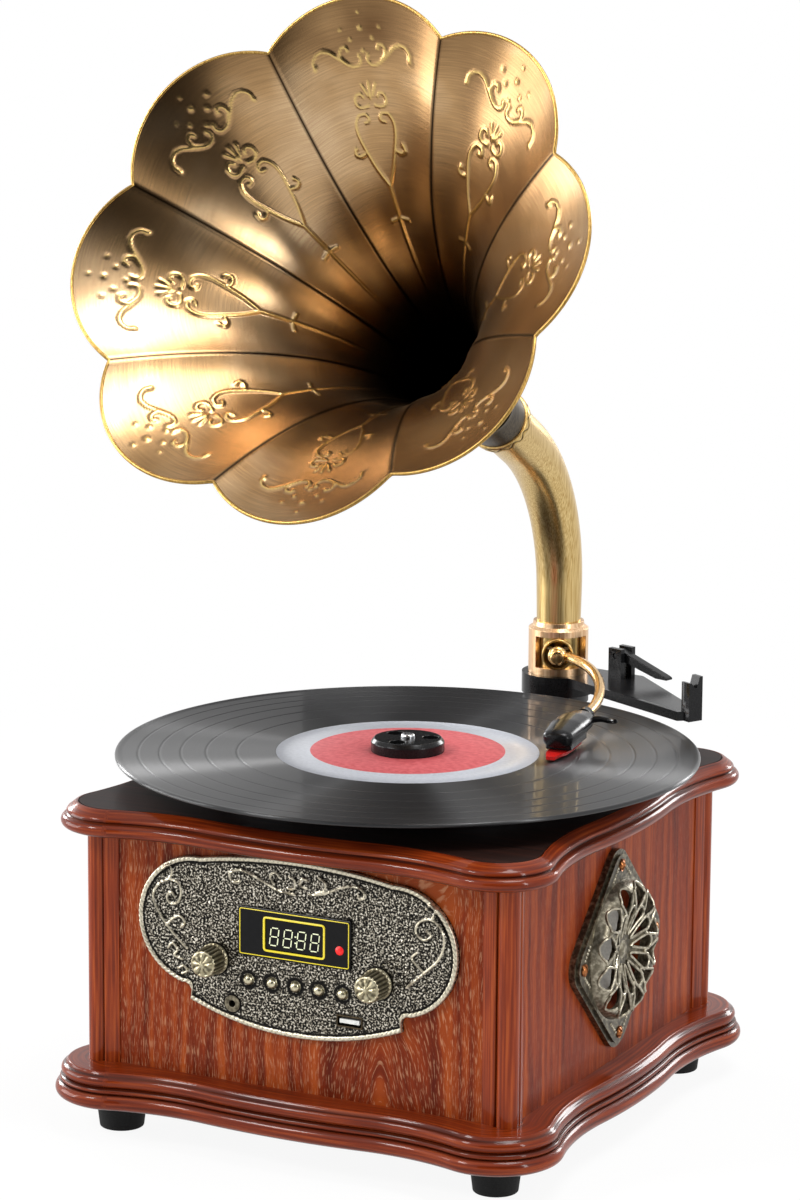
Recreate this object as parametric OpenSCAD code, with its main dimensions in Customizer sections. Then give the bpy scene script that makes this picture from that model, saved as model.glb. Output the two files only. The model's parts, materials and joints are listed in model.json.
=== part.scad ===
// Retro horn record player: a serpentine cabinet with a flower horn, a tonearm and a platter.
// Millimetres. Origin on the table under the middle of the part, +Z up, front of the cabinet towards -Y.

/* [Cabinet] */
// Half width between the outer faces of the side panels
panel_x = 117; // [105:1:125]
// Half depth between the outer faces of the front and rear panels
panel_y = 119; // [107:1:127]
// Thickness of the panels
panel_t = 10; // [6:0.5:14]
// Height of the rubber feet
foot_h = 17.5; // [8:0.5:20]
// Radius of a foot on the table
foot_r = 11.3; // [9:0.1:14]
// Radius of a foot under the base
foot_top_r = 13.5; // [12:0.1:16]
// Height of the base moulding
base_h = 18.9; // [16:0.1:32]
// Height of the panels and posts
body_h = 122.6; // [110:0.1:160]
// Height of the top moulding
top_h = 13; // [12:0.1:20]
// Thickness of the dark deck let into the top moulding
deck_t = 9; // [6:0.5:10]
// Width of a corner post on each face
post_w = 18.4; // [16:0.1:24]
// How far the corner bead stands in front of the panels
post_proud = 4; // [2.5:0.1:5]
// Radius of the corner bead
bead_r = 5.6; // [4:0.1:7]

/* [Serpentine outline] */
// Radius of the corner lobes
lobe_r = 27; // [24:0.5:32]
// Distance of the lobe centres from the middle, across
lobe_x = 106.5; // [98:0.5:112]
// Distance of the lobe centres from the middle, front to back
lobe_y = 111; // [103:0.5:117]
// Depth of the hollow between a lobe and the middle of a side
neck_depth = 7; // [4:0.5:9]
// Distance of the hollow from the middle of a side
neck_at = 60; // [50:1:66]
// Rise of the bow in the middle of a side
bow = 3.5; // [2:0.1:6]
// How far the lower roll of the base stands out
base_roll = 7; // [5:0.1:9]
// How far the nose of the top moulding stands out
top_nose = 3; // [2:0.1:6]
// How far the deck edge lies inside the outline
deck_inset = 6; // [4:0.1:9]

/* [Control plate] */
// Radius of the round ends of the plate, in per cent of the panels' height
plate_end_share = 27.49; // [24:0.01:29]
// Distance of the end centres from the middle
plate_end_x = 56; // [48:0.5:60]
// Height of the end centres above the base, in per cent of the panels' height
plate_end_up = 66.15; // [62:0.01:70]
// Height of the top of the plate above the base, in per cent of the panels' height
plate_top_up = 97.55; // [94:0.01:98]
// Height of the bottom of the plate above the base, in per cent of the panels' height
plate_bottom_up = 23.33; // [19:0.01:29]
// Thickness of the plate
plate_t = 2.4; // [1.6:0.1:4]
// Height of the raised cord along the rim
cord_h = 0.9; // [0.5:0.1:1.5]
// Width of the raised cord
cord_w = 2.4; // [1.5:0.1:4]
// Width of the display bezel
bezel_w = 63.5; // [50:0.5:70]
// Height of the display bezel
bezel_h = 25.6; // [20:0.1:30]
// Height of the middle of the display above the base, in per cent of the panels' height
display_up = 65.74; // [63:0.01:68]
// Width of the clear window
window_w = 33; // [24:0.5:44]
// Height of the clear window
window_h = 16; // [10:0.5:20]
// Radius of the two knobs
knob_r = 8; // [6:0.1:9]
// Length of the two knobs
knob_l = 13.5; // [10:0.1:18]
// Distance of the knobs from the middle
knob_x = 46; // [40:0.5:50]
// Height of the knobs above the base, in per cent of the panels' height
knob_up = 51.63; // [48:0.01:55]
// Flutes on a knob
knob_flutes = 20; // [12:1:26]
// Radius of a knob shaft
shaft_r = 3; // [2:0.1:3.5]
// Radius of a push button
button_r = 3.2; // [2.4:0.1:4]
// Distance between push buttons
button_pitch = 13.25; // [10:0.25:15]
// Height of the push buttons above the base, in per cent of the panels' height
button_up = 44.94; // [42:0.01:47]
// Travel of a push button
button_travel = 1.2; // [0.6:0.1:1.6]
// Place of the audio socket from the middle
jack_x = -35.6; // [-42:0.1:-30]
// Place of the USB port from the middle
usb_x = 30.6; // [24:0.1:38]
// Height of the sockets above the base, in per cent of the panels' height
socket_up = 33.77; // [31.5:0.01:36]

/* [Speaker grilles] */
// Half diagonal of the grille plate
grille_half = 52; // [48:0.5:54]
// Corner radius of the grille plate
grille_corner = 12; // [8:0.5:16]
// Height of the middle of the grilles above the base, in per cent of the panels' height
grille_up = 49.43; // [45:0.01:54]
// Thickness of the grille plate
grille_t = 5; // [3:0.5:7]
// Radius of the domed rosette
rosette_r = 37; // [32:0.5:38]
// Rise of the domed rosette
rosette_rise = 14; // [8:0.5:18]
// Wall of the domed rosette
rosette_wall = 2; // [1.5:0.1:3]
// Petals in each tier of the rosette
rosette_petals = 12; // [8:1:14]

/* [Turntable] */
// Radius of the record
record_r = 151; // [125:0.5:152]
// Thickness of the record
record_t = 2.2; // [1.5:0.1:2.5]
// Radius of the record label
label_r = 50; // [40:0.5:52]
// Radius of the platter
platter_r = 98; // [80:0.5:105]
// Height of the platter
platter_h = 8.6; // [7:0.1:12]
// Thickness of the slip mat
mat_t = 1.5; // [1:0.1:3]
// Height of the platter above the deck
platter_gap = 2; // [1.5:0.1:4]
// Radius of the belt track under the platter
track_r = 72; // [60:0.5:76]
// Radius of the spindle
spindle_r = 3.55; // [3:0.05:3.6]
// Radius of the single-record adapter
adapter_r = 19; // [15:0.1:20]
// Height of the single-record adapter
adapter_h = 7; // [4:0.1:10]
// Distance of the motor from the spindle
motor_at = 83; // [80:0.5:86]
// Radius of the motor pulley
pulley_r = 4.5; // [3:0.1:6]

/* [Horn] */
// Height of the middle of the horn mouth above the deck
horn_rise = 279.5; // [250:0.5:305]
// Place of the middle of the horn mouth, front to back
horn_y = -90; // [-110:0.5:-70]
// Angle at which the horn looks up
horn_up = 29; // [20:0.5:36]
// Length of the bell
horn_len = 222; // [190:1:250]
// Radius of the mouth at the notches between petals
notch_r = 122.3; // [100:0.1:130]
// Radius of the mouth at the petal tips
tip_r = 137.5; // [115:0.1:150]
// Radius of the bell at its neck
neck_r = 13.5; // [12:0.1:15]
// Straight part of the flare
flare = 13.9; // [8:0.1:40]
// Petals of the horn
petals = 8; // [6:1:10]
// Bulge of each petal, as a share of the radius
petal_bulge = 0.07; // [0.02:0.01:0.1]
// Turn of the first petal from the right
petal_turn = 7.6; // [0:0.1:45]
// Thickness of the horn sheet
sheet = 1.4; // [1:0.1:2]
// Radius of the elbow at the collar
elbow_r = 11.5; // [9:0.1:12]
// Radius of the elbow at the horn
elbow_top_r = 14.6; // [13:0.1:16]
// Bend radius of the elbow
elbow_bend = 100; // [80:1:110]
// Wall of the elbow
elbow_wall = 1.2; // [0.8:0.1:2]

/* [Column] */
// Distance of the column behind the spindle
column_y = 183; // [176:0.5:195]
// Height of the collar's bottom edge above the deck
collar_up = 17.2; // [16.8:0.1:20]
// Height of the collar
collar_h = 32.4; // [31:0.1:38]
// Radius of the collar
collar_r = 16.5; // [16:0.1:18]
// Wall of the collar
collar_wall = 3.3; // [2.5:0.1:3.8]
// Height of the tonearm pivot above the collar's bottom edge
pivot_up = 16.3; // [15.5:0.1:17]
// Thickness of the arm base plate
plate_bar = 5; // [3:0.1:6]
// Radius of the bracket's round arm
bracket_r = 12; // [9:0.5:15]
// Bend radius of the bracket
bracket_bend = 42; // [30:1:46]
// Height of the bracket's foot above the base, in per cent of the panels' height
bracket_up = 55.14; // [48:0.01:62]

/* [Tonearm] */
// Angle of the arm from straight ahead, as it plays
arm_angle = 23.9; // [18:0.1:28]
// Distance from the pivot to the needle
arm_len = 184; // [176:0.5:190]
// Radius of the arm tube
tube_r = 2.8; // [2:0.1:3.2]
// Sideways swing of the bent tube
tube_bow = 26; // [15:0.5:30]
// Distance from the pivot to the headshell
shell_at = 124; // [115:0.5:130]
// Sideways place of the headshell socket
shell_side = 16; // [10:0.5:20]
// Drop of the tube from the pivot to the headshell
shell_drop = 9.5; // [8.5:0.1:10.5]
// Travel of the arm from playing to the lead-in groove
swing_out = 24.5; // [10:0.5:25]
// Travel of the arm from playing to the run-out groove
swing_in = 6; // [2:0.5:8]

/* [Fits] */
// Radial clearance of shafts that turn
run_fit = 0.06; // [0.02:0.01:0.1]
// Gap between pieces that slide past each other
slip_gap = 0.3; // [0.2:0.05:0.5]

/* [Hidden] */
$fn = 96;
base_top = foot_h + base_h;
body_top = base_top + body_h;
deck_top = body_top + top_h;
deck_bottom = deck_top - deck_t;
function on_panel(share) = base_top + body_h * share / 100;
plate_end_r = body_h * plate_end_share / 100;
plate_end_z = on_panel(plate_end_up);
plate_top = on_panel(plate_top_up);
plate_bottom = on_panel(plate_bottom_up);
display_z = on_panel(display_up);
knob_z = on_panel(knob_up);
button_z = on_panel(button_up);
socket_z = on_panel(socket_up);
grille_z = on_panel(grille_up);
bracket_z = on_panel(bracket_up);
horn_z = deck_top + horn_rise;
collar_z = deck_top + collar_up;
rail = 9;
opening_x = panel_x - panel_t - rail;
opening_y = panel_y - panel_t - rail;
post_x = panel_x + post_proud - post_w;
post_y = panel_y + post_proud - post_w;
platter_z = deck_top + platter_gap;
mat_z = platter_z + platter_h;
record_z = mat_z + mat_t;
record_top = record_z + record_t;
board_y = panel_y - panel_t - rail;
board_t = 1.6;
opening_half_x = plate_end_x + 4;
opening_high = display_z + bezel_h / 2 + 2;
opening_step = button_z - button_r;
opening_low = socket_z - 5.3;
socket_half_x = max(-jack_x, usb_x) + 6.4;
button_n = 5;
button_flange_t = 1.2;
button_flange = 1;
button_stem_r = 2;
button_dome = 2.6;
pivot_z = collar_z + pivot_up;
collar_in = collar_r - collar_wall;
sleeve_r = collar_in - slip_gap;
socket_r = 8.4;
socket_in = 7.2;
socket_out = collar_r + 1.3;
spigot_r = 5;
spigot_h = 5;
pin_r = 1.5;
pin_short = 0.5;
eye_r = 4.2;
eye_half = 4.6;
screw_r = 1.8;
screw_head_r = 3.2;
screw_head_h = 1.8;
grille_screw_at = grille_half - 8;
bracket_foot_x = 24;
bracket_foot_z = 34;
bracket_foot_t = 8;
bracket_corner = 8;
bracket_cap = 5;
wood = "sienna";
bronze = "darkkhaki";
gold = "goldenrod";
black = "#2b2b2b";

// Angles, radii and centres of the tangent arcs that make one side of the outline.
// len is the distance of the lobe centres from the middle of that side.
function neck_angle(len) = 2 * atan(neck_depth / (len - neck_at));
function neck_rad(len) = (len - neck_at) / sin(neck_angle(len)) - lobe_r;
function neck_out(len) = (lobe_r + neck_rad(len)) * cos(neck_angle(len));
function bow_angle() = 2 * atan(bow / neck_at);
function bow_rad(len) = neck_at / sin(bow_angle()) - neck_rad(len);
function bow_out(len) = neck_out(len) - (neck_rad(len) + bow_rad(len)) * cos(bow_angle());
function side_len(s) = s % 2 == 0 ? lobe_x : lobe_y;
function side_base(s) = s % 2 == 0 ? lobe_y : lobe_x;

// Stations along the outline, counter-clockwise:
// [centre, radius, sign of the offset, angle, opening point].
// The opening point is the place on the rectangular opening that the station is joined to.
neck_steps = 5;
bow_steps = 6;
lobe_steps = 12;
corner_run = 15;
function turned(p, s) = let (c = cos(90 * s), d = sin(90 * s)) [p.x * c - p.y * d, p.x * d + p.y * c];
function edge_half(s) = s % 2 == 0 ? opening_x : opening_y;
function edge_point(s, i) = let (n = 2 * neck_steps + bow_steps, a = edge_half(s) - corner_run)
    turned([-a + 2 * a * i / n, -edge_half(s + 1)], s);
function corner_point(s, f) = f < 0.5
    ? turned([edge_half(s) - corner_run * (1 - 2 * f), -edge_half(s + 1)], s)
    : turned([edge_half(s), -edge_half(s + 1) + corner_run * (2 * f - 1)], s);
function side_stations(s) = let (
    len = side_len(s), base = side_base(s), na = neck_angle(len), ba = bow_angle(),
    neck_c = -base - neck_out(len), bow_c = -base - bow_out(len), next = neck_angle(side_len(s + 1)))
    concat(
        [for (i = [0 : neck_steps - 1]) [turned([-neck_at, neck_c], s), neck_rad(len), -1,
            90 * s + 90 + na - (na + ba) * i / neck_steps, edge_point(s, i)]],
        [for (i = [0 : bow_steps - 1]) [turned([0, bow_c], s), bow_rad(len), 1,
            90 * s - 90 - ba + 2 * ba * i / bow_steps, edge_point(s, neck_steps + i)]],
        [for (i = [0 : neck_steps - 1]) [turned([neck_at, neck_c], s), neck_rad(len), -1,
            90 * s + 90 + ba - (na + ba) * i / neck_steps, edge_point(s, neck_steps + bow_steps + i)]],
        [for (i = [0 : lobe_steps - 1]) [turned([len, -base], s), lobe_r, 1,
            90 * s - 90 - na + (90 + na + next) * i / lobe_steps, corner_point(s, i / lobe_steps)]]);
stations = [for (s = [0 : 3]) each side_stations(s)];
function station_point(t, o, z) = let (r = t[1] + t[2] * o)
    [t[0].x + r * cos(t[3]), t[0].y + r * sin(t[3]), z];

// Ring from the rectangular opening, z0 to z1 high there, out to a profile of [offset, height] points,
// from the top down
module serpentine_ring(profile, z0, z1) {
    opening = [for (z = [z0, z1]) for (t = stations) [t[4].x, t[4].y, z]];
    outline = [for (p = profile) for (t = stations) station_point(t, p.x, p.y)];
    polyhedron(concat(opening, outline), ring_faces(len(profile) + 2, len(stations)));
}

function arc(c, r, a0, a1, n) = [for (i = [0 : n]) let (a = a0 + (a1 - a0) * i / n)
    [c.x + r * cos(a), c.y + r * sin(a)]];

// Base profile, from the top down: flat ledge, upper roll, quirk, bead, quirk and half-round lower roll
roll_r = base_h * 0.22;
ovolo_r = base_h * 0.165;
base_bead_r = base_h * 0.07;
base_bead_z = foot_h + 2 * roll_r + base_bead_r;
function base_profile() = concat(
    [[0, base_top], [0.8, base_top - 0.6]],
    arc([base_roll * 0.55 - ovolo_r, base_bead_z + base_bead_r + ovolo_r], ovolo_r, 68, -62, 5),
    arc([base_roll * 0.66 - base_bead_r, base_bead_z], base_bead_r, 60, -50, 3),
    arc([base_roll - roll_r, foot_h + roll_r], roll_r, 80, -60, 6),
    [[base_roll - roll_r * 0.75, foot_h]]);

// Top profile, from the seat of the deck: flat edge, rounded shoulder, quirk and half-round nose
nose_r = top_h * 0.26;
function top_profile() = concat(
    [[-deck_inset, deck_bottom], [-deck_inset, deck_top], [-deck_inset + 1.6, deck_top - 0.5]],
    arc([top_nose - nose_r - 2, body_top + 2.3 * nose_r], 2.6, 60, 5, 3),
    [[top_nose - nose_r + 0.1, body_top + 2.15 * nose_r]],
    arc([top_nose - nose_r, body_top + nose_r], nose_r, 78, -60, 6),
    [[top_nose - nose_r * 0.8, body_top]]);

module block(x, y, z0, z1) {
    translate([-x, -y, z0]) cube([2 * x, 2 * y, z1 - z0]);
}

module base_moulding() {
    color(wood) serpentine_ring(base_profile(), foot_h, base_top);
}

module base_board() {
    color(wood) block(opening_x, opening_y, foot_h, foot_h + panel_t);
}

// Rubber foot with a hollow underside, stuck under a lobe of the base
module foot(mx, my) {
    color(black) mirror([mx, 0, 0]) mirror([0, my, 0]) translate([lobe_x, -lobe_y, 0]) difference() {
        cylinder(h = foot_h, r1 = foot_r, r2 = foot_top_r);
        translate([0, 0, -1]) cylinder(h = foot_h / 2, r = foot_r - 3);
    }
}

// Round-headed wood screw, head on z = 0 and shank up
module wood_screw(len) {
    translate([0, 0, -screw_head_h]) cylinder(h = screw_head_h, r = screw_head_r);
    cylinder(h = len, r = screw_r);
}

module wood_screws() {
    color(gold) {
        for (e = [-1, 1]) {
            for (a = [0 : 90 : 270]) {
                grille_place(e) rotate(a) translate([grille_screw_at, 0, grille_t])
                    mirror([0, 0, 1]) wood_screw(grille_t + panel_t - 2);
            }
        }
        bracket_screw_places() wood_screw(bracket_foot_t + panel_t - 2);
    }
}

module post(mx, my) {
    bead_x = panel_x + post_proud - bead_r;
    bead_y = panel_y + post_proud - bead_r;
    face = post_proud * 0.7;
    lip = post_proud * 0.15;
    edge = bead_r * 0.88;
    color(wood) mirror([mx, 0, 0]) mirror([0, my, 0]) translate([0, 0, base_top]) {
        linear_extrude(body_h) polygon([[post_x, -post_y], [post_x, -panel_y - lip],
            [bead_x - edge, -panel_y - face], [bead_x - edge, -bead_y], [bead_x, -bead_y + edge],
            [panel_x + face, -bead_y + edge], [panel_x + lip, -post_y]]);
        translate([bead_x, -bead_y, 0]) cylinder(h = body_h, r = bead_r);
    }
}

module front_panel() {
    color(wood) difference() {
        translate([-post_x, -panel_y, base_top]) cube([2 * post_x, panel_t, body_h]);
        translate([-opening_half_x, -panel_y - 1, opening_step])
            cube([2 * opening_half_x, panel_t + 2, opening_high - opening_step]);
        translate([-socket_half_x, -panel_y - 1, opening_low])
            cube([2 * socket_half_x, panel_t + 2, opening_step - opening_low + 1]);
    }
}

module side_panel(e) {
    color(wood) difference() {
        translate([e > 0 ? panel_x - panel_t : -panel_x, -post_y, base_top])
            cube([panel_t, 2 * post_y, body_h]);
        grille_place(e) translate([0, 0, -panel_t - 1]) cylinder(h = panel_t + 2, r = rosette_r);
        for (a = [0 : 90 : 270]) {
            grille_place(e) rotate(a) translate([grille_screw_at, 0, -panel_t + 2])
                cylinder(h = panel_t, r = screw_r + run_fit);
        }
    }
}

inlet_x = -70;
inlet_z = base_top + 24;
inlet_r = 5.5;
inlet_wall = 1.5;
inlet_lip = 2;
inlet_tail = 4;
inlet_pin_r = 1;

module rear_panel() {
    color(wood) difference() {
        translate([-post_x, panel_y - panel_t, base_top]) cube([2 * post_x, panel_t, body_h]);
        translate([inlet_x, panel_y + 1, inlet_z]) rotate([90, 0, 0])
            cylinder(h = panel_t + 2, r = inlet_r + run_fit);
        bracket_screw_places() translate([0, 0, bracket_foot_t - 1])
            cylinder(h = panel_t, r = screw_r + run_fit);
    }
}

// Ringed power socket in the rear panel, with its centre pin
module power_inlet() {
    color(black) translate([inlet_x, panel_y, inlet_z]) rotate([90, 0, 0]) {
        difference() {
            union() {
                cylinder(h = panel_t + inlet_tail, r = inlet_r);
                translate([0, 0, -inlet_lip]) cylinder(h = inlet_lip, r = inlet_r + inlet_wall);
            }
            translate([0, 0, -inlet_lip - 1]) cylinder(h = panel_t, r = inlet_r - inlet_wall);
        }
        cylinder(h = panel_t, r = inlet_pin_r);
    }
}

module top_moulding() {
    color(wood) serpentine_ring(top_profile(), body_top, deck_bottom);
}

module top_deck() {
    color("#2a1a18") difference() {
        translate([0, 0, deck_bottom]) linear_extrude(deck_t)
            polygon([for (t = stations) let (p = station_point(t, -deck_inset - slip_gap, 0)) [p.x, p.y]]);
        translate([0, 0, deck_bottom - 1]) cylinder(h = deck_t + 2, r = housing_r + run_fit);
        motor_place() translate([0, 0, deck_bottom - 1]) cylinder(h = deck_t + 2, r = pulley_r + 2);
    }
}

// Outline of the control plate, inset by i, as a slab of thickness h towards -Z of its own frame
plate_top_r = 305;
plate_bottom_r = 158;
plate_notch_r = 4.5;
plate_mid_x = plate_end_x + 6;
plate_facets = 360;
plate_notch_x = plate_end_x + 7.5;
plate_notch_z = plate_end_z - plate_end_r - 3.3;

module plate_slab(i, h) {
    difference() {
        union() {
            for (e = [-1, 1]) {
                translate([e * plate_end_x, plate_end_z, 0]) cylinder(h = h, r = plate_end_r - i);
            }
            intersection() {
                translate([0, plate_top - plate_top_r, 0])
                    cylinder(h = h, r = plate_top_r - i, $fn = plate_facets);
                translate([0, plate_bottom + plate_bottom_r, 0])
                    cylinder(h = h, r = plate_bottom_r - i, $fn = plate_facets);
                translate([-plate_mid_x + i, 0, 0]) cube([2 * (plate_mid_x - i), 2 * plate_top, h]);
            }
        }
        for (e = [-1, 1]) {
            translate([e * plate_notch_x, plate_notch_z, -1]) cylinder(h = h + 2, r = plate_notch_r + i);
        }
    }
}

// Frame of the front face: x across, y up, z out of the cabinet
module front_face() {
    translate([0, -panel_y, 0]) rotate([90, 0, 0]) children();
}

module control_plate() {
    color(bronze) front_face() difference() {
        union() {
            plate_slab(0, plate_t);
            translate([0, 0, plate_t]) difference() {
                plate_slab(0, cord_h);
                translate([0, 0, -1]) plate_slab(cord_w, cord_h + 2);
            }
        }
        bezel_neck(-1, plate_t + 2);
        for (e = [-1, 1]) {
            translate([e * knob_x, knob_z, -1]) cylinder(h = plate_t + 2, r = shaft_r + run_fit);
        }
        button_places() translate([0, 0, -1]) cylinder(h = plate_t + 2, r = button_r + slip_gap);
        translate([jack_x, socket_z, -1]) cylinder(h = plate_t + 2, r = jack_r + run_fit);
        translate([usb_x - usb_w / 2 - run_fit, socket_z - usb_h / 2 - run_fit, -1])
            cube([usb_w + 2 * run_fit, usb_h + 2 * run_fit, plate_t + 2]);
    }
}

jack_r = 3.4;
jack_bore_r = 1.8;
jack_lip = 0.8;
jack_flange = 0.9;
usb_w = 14.5;
usb_h = 6.2;
usb_wall = 0.8;
usb_lip = 0.6;
socket_floor = 6;

module button_places() {
    for (i = [0 : button_n - 1]) {
        translate([(i - (button_n - 1) / 2) * button_pitch, button_z, 0]) children();
    }
}

// Part of the bezel that passes through the plate, from z0 and h high
bezel_lip = 1.6;
bezel_rebate = 2;

module bezel_neck(z0, h) {
    w = bezel_w - 2 * bezel_rebate;
    high = bezel_h - 2 * bezel_rebate;
    translate([-w / 2, display_z - high / 2, z0]) cube([w, high, h]);
}

module display_bezel() {
    color(black) front_face() difference() {
        union() {
            translate([-bezel_w / 2, display_z - bezel_h / 2, plate_t]) cube([bezel_w, bezel_h, bezel_lip]);
            bezel_neck(0, plate_t);
        }
        translate([-window_w / 2, display_z - window_h / 2, -1])
            cube([window_w, window_h, plate_t + bezel_lip + 2]);
    }
}

window_sunk = 0.7;

module display_window() {
    color("khaki") front_face() translate([-window_w / 2, display_z - window_h / 2, 0])
        cube([window_w, window_h, plate_t + bezel_lip - window_sunk]);
}

// Control board with the display module, the pot housings and the button switches
switch_h = 7;
switch_gap = 0.3;
switch_r = 2.4;
pot_r = 8;
pot_h = 9;
pot_floor = 1;
board_edge = 6;
pillar_r = 2.6;
lcd_edge = 3;
lcd_gap = 0.5;

module control_board() {
    board_x = opening_half_x + board_edge;
    depth = panel_y - board_y;
    pillar = depth - panel_t;
    pillar_in = board_edge / 2;
    color("darkgreen") front_face() translate([0, 0, -depth]) {
        difference() {
            union() {
                translate([-board_x, opening_low - board_edge, -board_t])
                    cube([2 * board_x, opening_high - opening_low + 2 * board_edge, board_t]);
                for (x = [-board_x + pillar_in, board_x - pillar_in]) {
                    for (z = [opening_low - pillar_in, opening_high + pillar_in]) {
                        translate([x, z, 0]) cylinder(h = pillar, r = pillar_r);
                    }
                }
                translate([-window_w / 2 - lcd_edge, display_z - window_h / 2 - bezel_rebate, 0])
                    cube([window_w + 2 * lcd_edge, window_h + 2 * bezel_rebate, depth - lcd_gap]);
                for (e = [-1, 1]) {
                    translate([e * knob_x, knob_z, 0]) cylinder(h = pot_h, r = pot_r);
                }
                button_places() cylinder(h = switch_h, r = switch_r);
            }
            for (e = [-1, 1]) {
                translate([e * knob_x, knob_z, pot_floor]) cylinder(h = pot_h, r = shaft_r + run_fit);
            }
        }
    }
}

// Fluted knob with a bevelled front, on its shaft
knob_bevel = 2;
knob_front = 5;
flute_r = 0.9;
flute_out = 0.3;

module knob(e) {
    color(bronze) front_face() translate([e * knob_x, knob_z, plate_t + slip_gap]) difference() {
        union() {
            cylinder(h = knob_l - knob_bevel, r = knob_r);
            translate([0, 0, knob_l - knob_bevel])
                cylinder(h = knob_bevel, r1 = knob_r, r2 = knob_r - knob_bevel);
        }
        for (i = [0 : knob_flutes - 1]) {
            rotate(360 / knob_flutes * i) translate([knob_r + flute_out, 0, knob_bevel])
                cylinder(h = knob_l, r = flute_r, $fn = 24);
        }
        translate([0, 0, -1]) cylinder(h = knob_l - knob_front + 2, r = shaft_r + run_fit / 2);
    }
}

module knob_shaft(e) {
    depth = panel_y - board_y;
    color("silver") front_face() translate([e * knob_x, knob_z, -depth + pot_floor + slip_gap])
        cylinder(h = depth - pot_floor + plate_t + knob_l - knob_front, r = shaft_r);
}

// Domed push button with a flange behind the plate and a stem towards its switch
module push_button(i) {
    depth = panel_y - board_y;
    stem_end = -depth + switch_h + switch_gap + button_travel;
    stem_top = -slip_gap - button_flange_t / 2;
    dome_r = (button_r * button_r + button_dome * button_dome) / (2 * button_dome);
    color(bronze) front_face()
        translate([(i - (button_n - 1) / 2) * button_pitch, button_z, 0]) {
            translate([0, 0, -slip_gap - button_flange_t])
                cylinder(h = button_flange_t, r = button_r + button_flange);
            translate([0, 0, stem_top]) cylinder(h = plate_t - stem_top, r = button_r);
            translate([0, 0, plate_t]) intersection() {
                translate([0, 0, button_dome - dome_r]) sphere(r = dome_r);
                cylinder(h = dome_r, r = button_r);
            }
            translate([0, 0, stem_end]) cylinder(h = stem_top - stem_end, r = button_stem_r);
        }
}

module aux_jack() {
    depth = panel_y - board_y;
    color("silver") front_face() translate([jack_x, socket_z, -depth]) difference() {
        union() {
            cylinder(h = depth + plate_t + jack_lip, r = jack_r);
            translate([0, 0, depth + plate_t]) cylinder(h = jack_lip, r = jack_r + jack_flange);
        }
        translate([0, 0, socket_floor]) cylinder(h = depth + plate_t, r = jack_bore_r);
    }
}

module usb_port() {
    depth = panel_y - board_y;
    color("silver") front_face() translate([usb_x, socket_z, -depth]) difference() {
        translate([-usb_w / 2, -usb_h / 2, 0]) cube([usb_w, usb_h, depth + plate_t + usb_lip]);
        translate([-usb_w / 2 + usb_wall, -usb_h / 2 + usb_wall, socket_floor])
            cube([usb_w - 2 * usb_wall, usb_h - 2 * usb_wall, depth + plate_t]);
    }
}

// Frame of a grille on a side panel: z out of the cabinet, e = 1 right, -1 left
module grille_place(e) {
    translate([e * panel_x, 0, grille_z]) rotate([90, 0, e * 90]) children();
}

// Rounded diamond slab
module diamond(half, r, h) {
    c = half - r;
    d = r * sqrt(0.5);
    linear_extrude(h) polygon([[c + d, d], [d, c + d], [-d, c + d], [-c - d, d],
        [-c - d, -d], [-d, -c - d], [d, -c - d], [c + d, -d]]);
    for (a = [0 : 90 : 270]) {
        rotate(a) translate([c, 0, 0]) cylinder(h = h, r = r);
    }
}

// Teardrop prism that opens one petal of the rosette
module petal_cut(r0, r1, w, h) {
    point = 0.7;
    wide = w * 0.98;
    linear_extrude(h) polygon([[r0, point], [r1 - w, wide], [r1 - w, -wide], [r0, -point]]);
    translate([r1 - w, 0, 0]) cylinder(h = h, r = w, $fn = 32);
}

// Diamond plate with a step round its edge and an openwork dome of two tiers of petals
grille_step = 1.6;
grille_bevel = 2.5;
rosette_seat = 0.8;
rosette_lap = 0.4;

module speaker_grille(e) {
    ball = (rosette_r * rosette_r + rosette_rise * rosette_rise) / (2 * rosette_rise);
    down = grille_t - 1 + rosette_rise - ball;
    step = 360 / rosette_petals;
    mid = rosette_r * 0.62;
    half_in = mid * sin(step / 2) * 0.62;
    half_out = rosette_r * sin(step / 2) * 0.66;
    hole_r = rosette_r - rosette_seat;
    cut_h = grille_t + rosette_rise + 2;
    color("#4a463e") grille_place(e) {
        difference() {
            union() {
                diamond(grille_half, grille_corner, grille_t - grille_step);
                diamond(grille_half - grille_bevel, grille_corner - grille_bevel * 0.6, grille_t);
            }
            translate([0, 0, -1]) cylinder(h = grille_t + 2, r = hole_r);
            for (a = [0 : 90 : 270]) {
                rotate(a) translate([grille_screw_at, 0, -1])
                    cylinder(h = grille_t + 2, r = screw_r + run_fit);
            }
        }
        difference() {
            intersection() {
                translate([0, 0, down]) difference() {
                    sphere(r = ball);
                    sphere(r = ball - rosette_wall);
                }
                translate([0, 0, grille_t - 3]) cylinder(h = rosette_rise + 4, r = hole_r + rosette_lap);
            }
            for (i = [0 : rosette_petals - 1]) {
                rotate(step * i) petal_cut(rosette_r * 0.24, mid, half_in, cut_h);
                rotate(step * (i + 0.5)) petal_cut(rosette_r * 0.52, rosette_r * 0.93, half_out, cut_h);
            }
        }
    }
}

// Loudspeaker behind a side panel: flange, cone basket and magnet
speaker_depth = 34;
magnet_r = 22;
magnet_h = 14;
frame_r = 17;
frame_t = 3;
coil_r = 15;

module speaker_driver(e) {
    magnet_z = speaker_depth - magnet_h;
    color(black) grille_place(e) translate([0, 0, -panel_t]) mirror([0, 0, 1]) rotate_extrude()
        polygon([[0, speaker_depth], [magnet_r, speaker_depth], [magnet_r, magnet_z], [frame_r, magnet_z],
            [rosette_r - 2, frame_t + 1], [rosette_r + frame_t, frame_t], [rosette_r + frame_t, 0],
            [rosette_r - 2, 0], [coil_r, magnet_z - 4], [0, magnet_z - 6]]);
}

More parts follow.
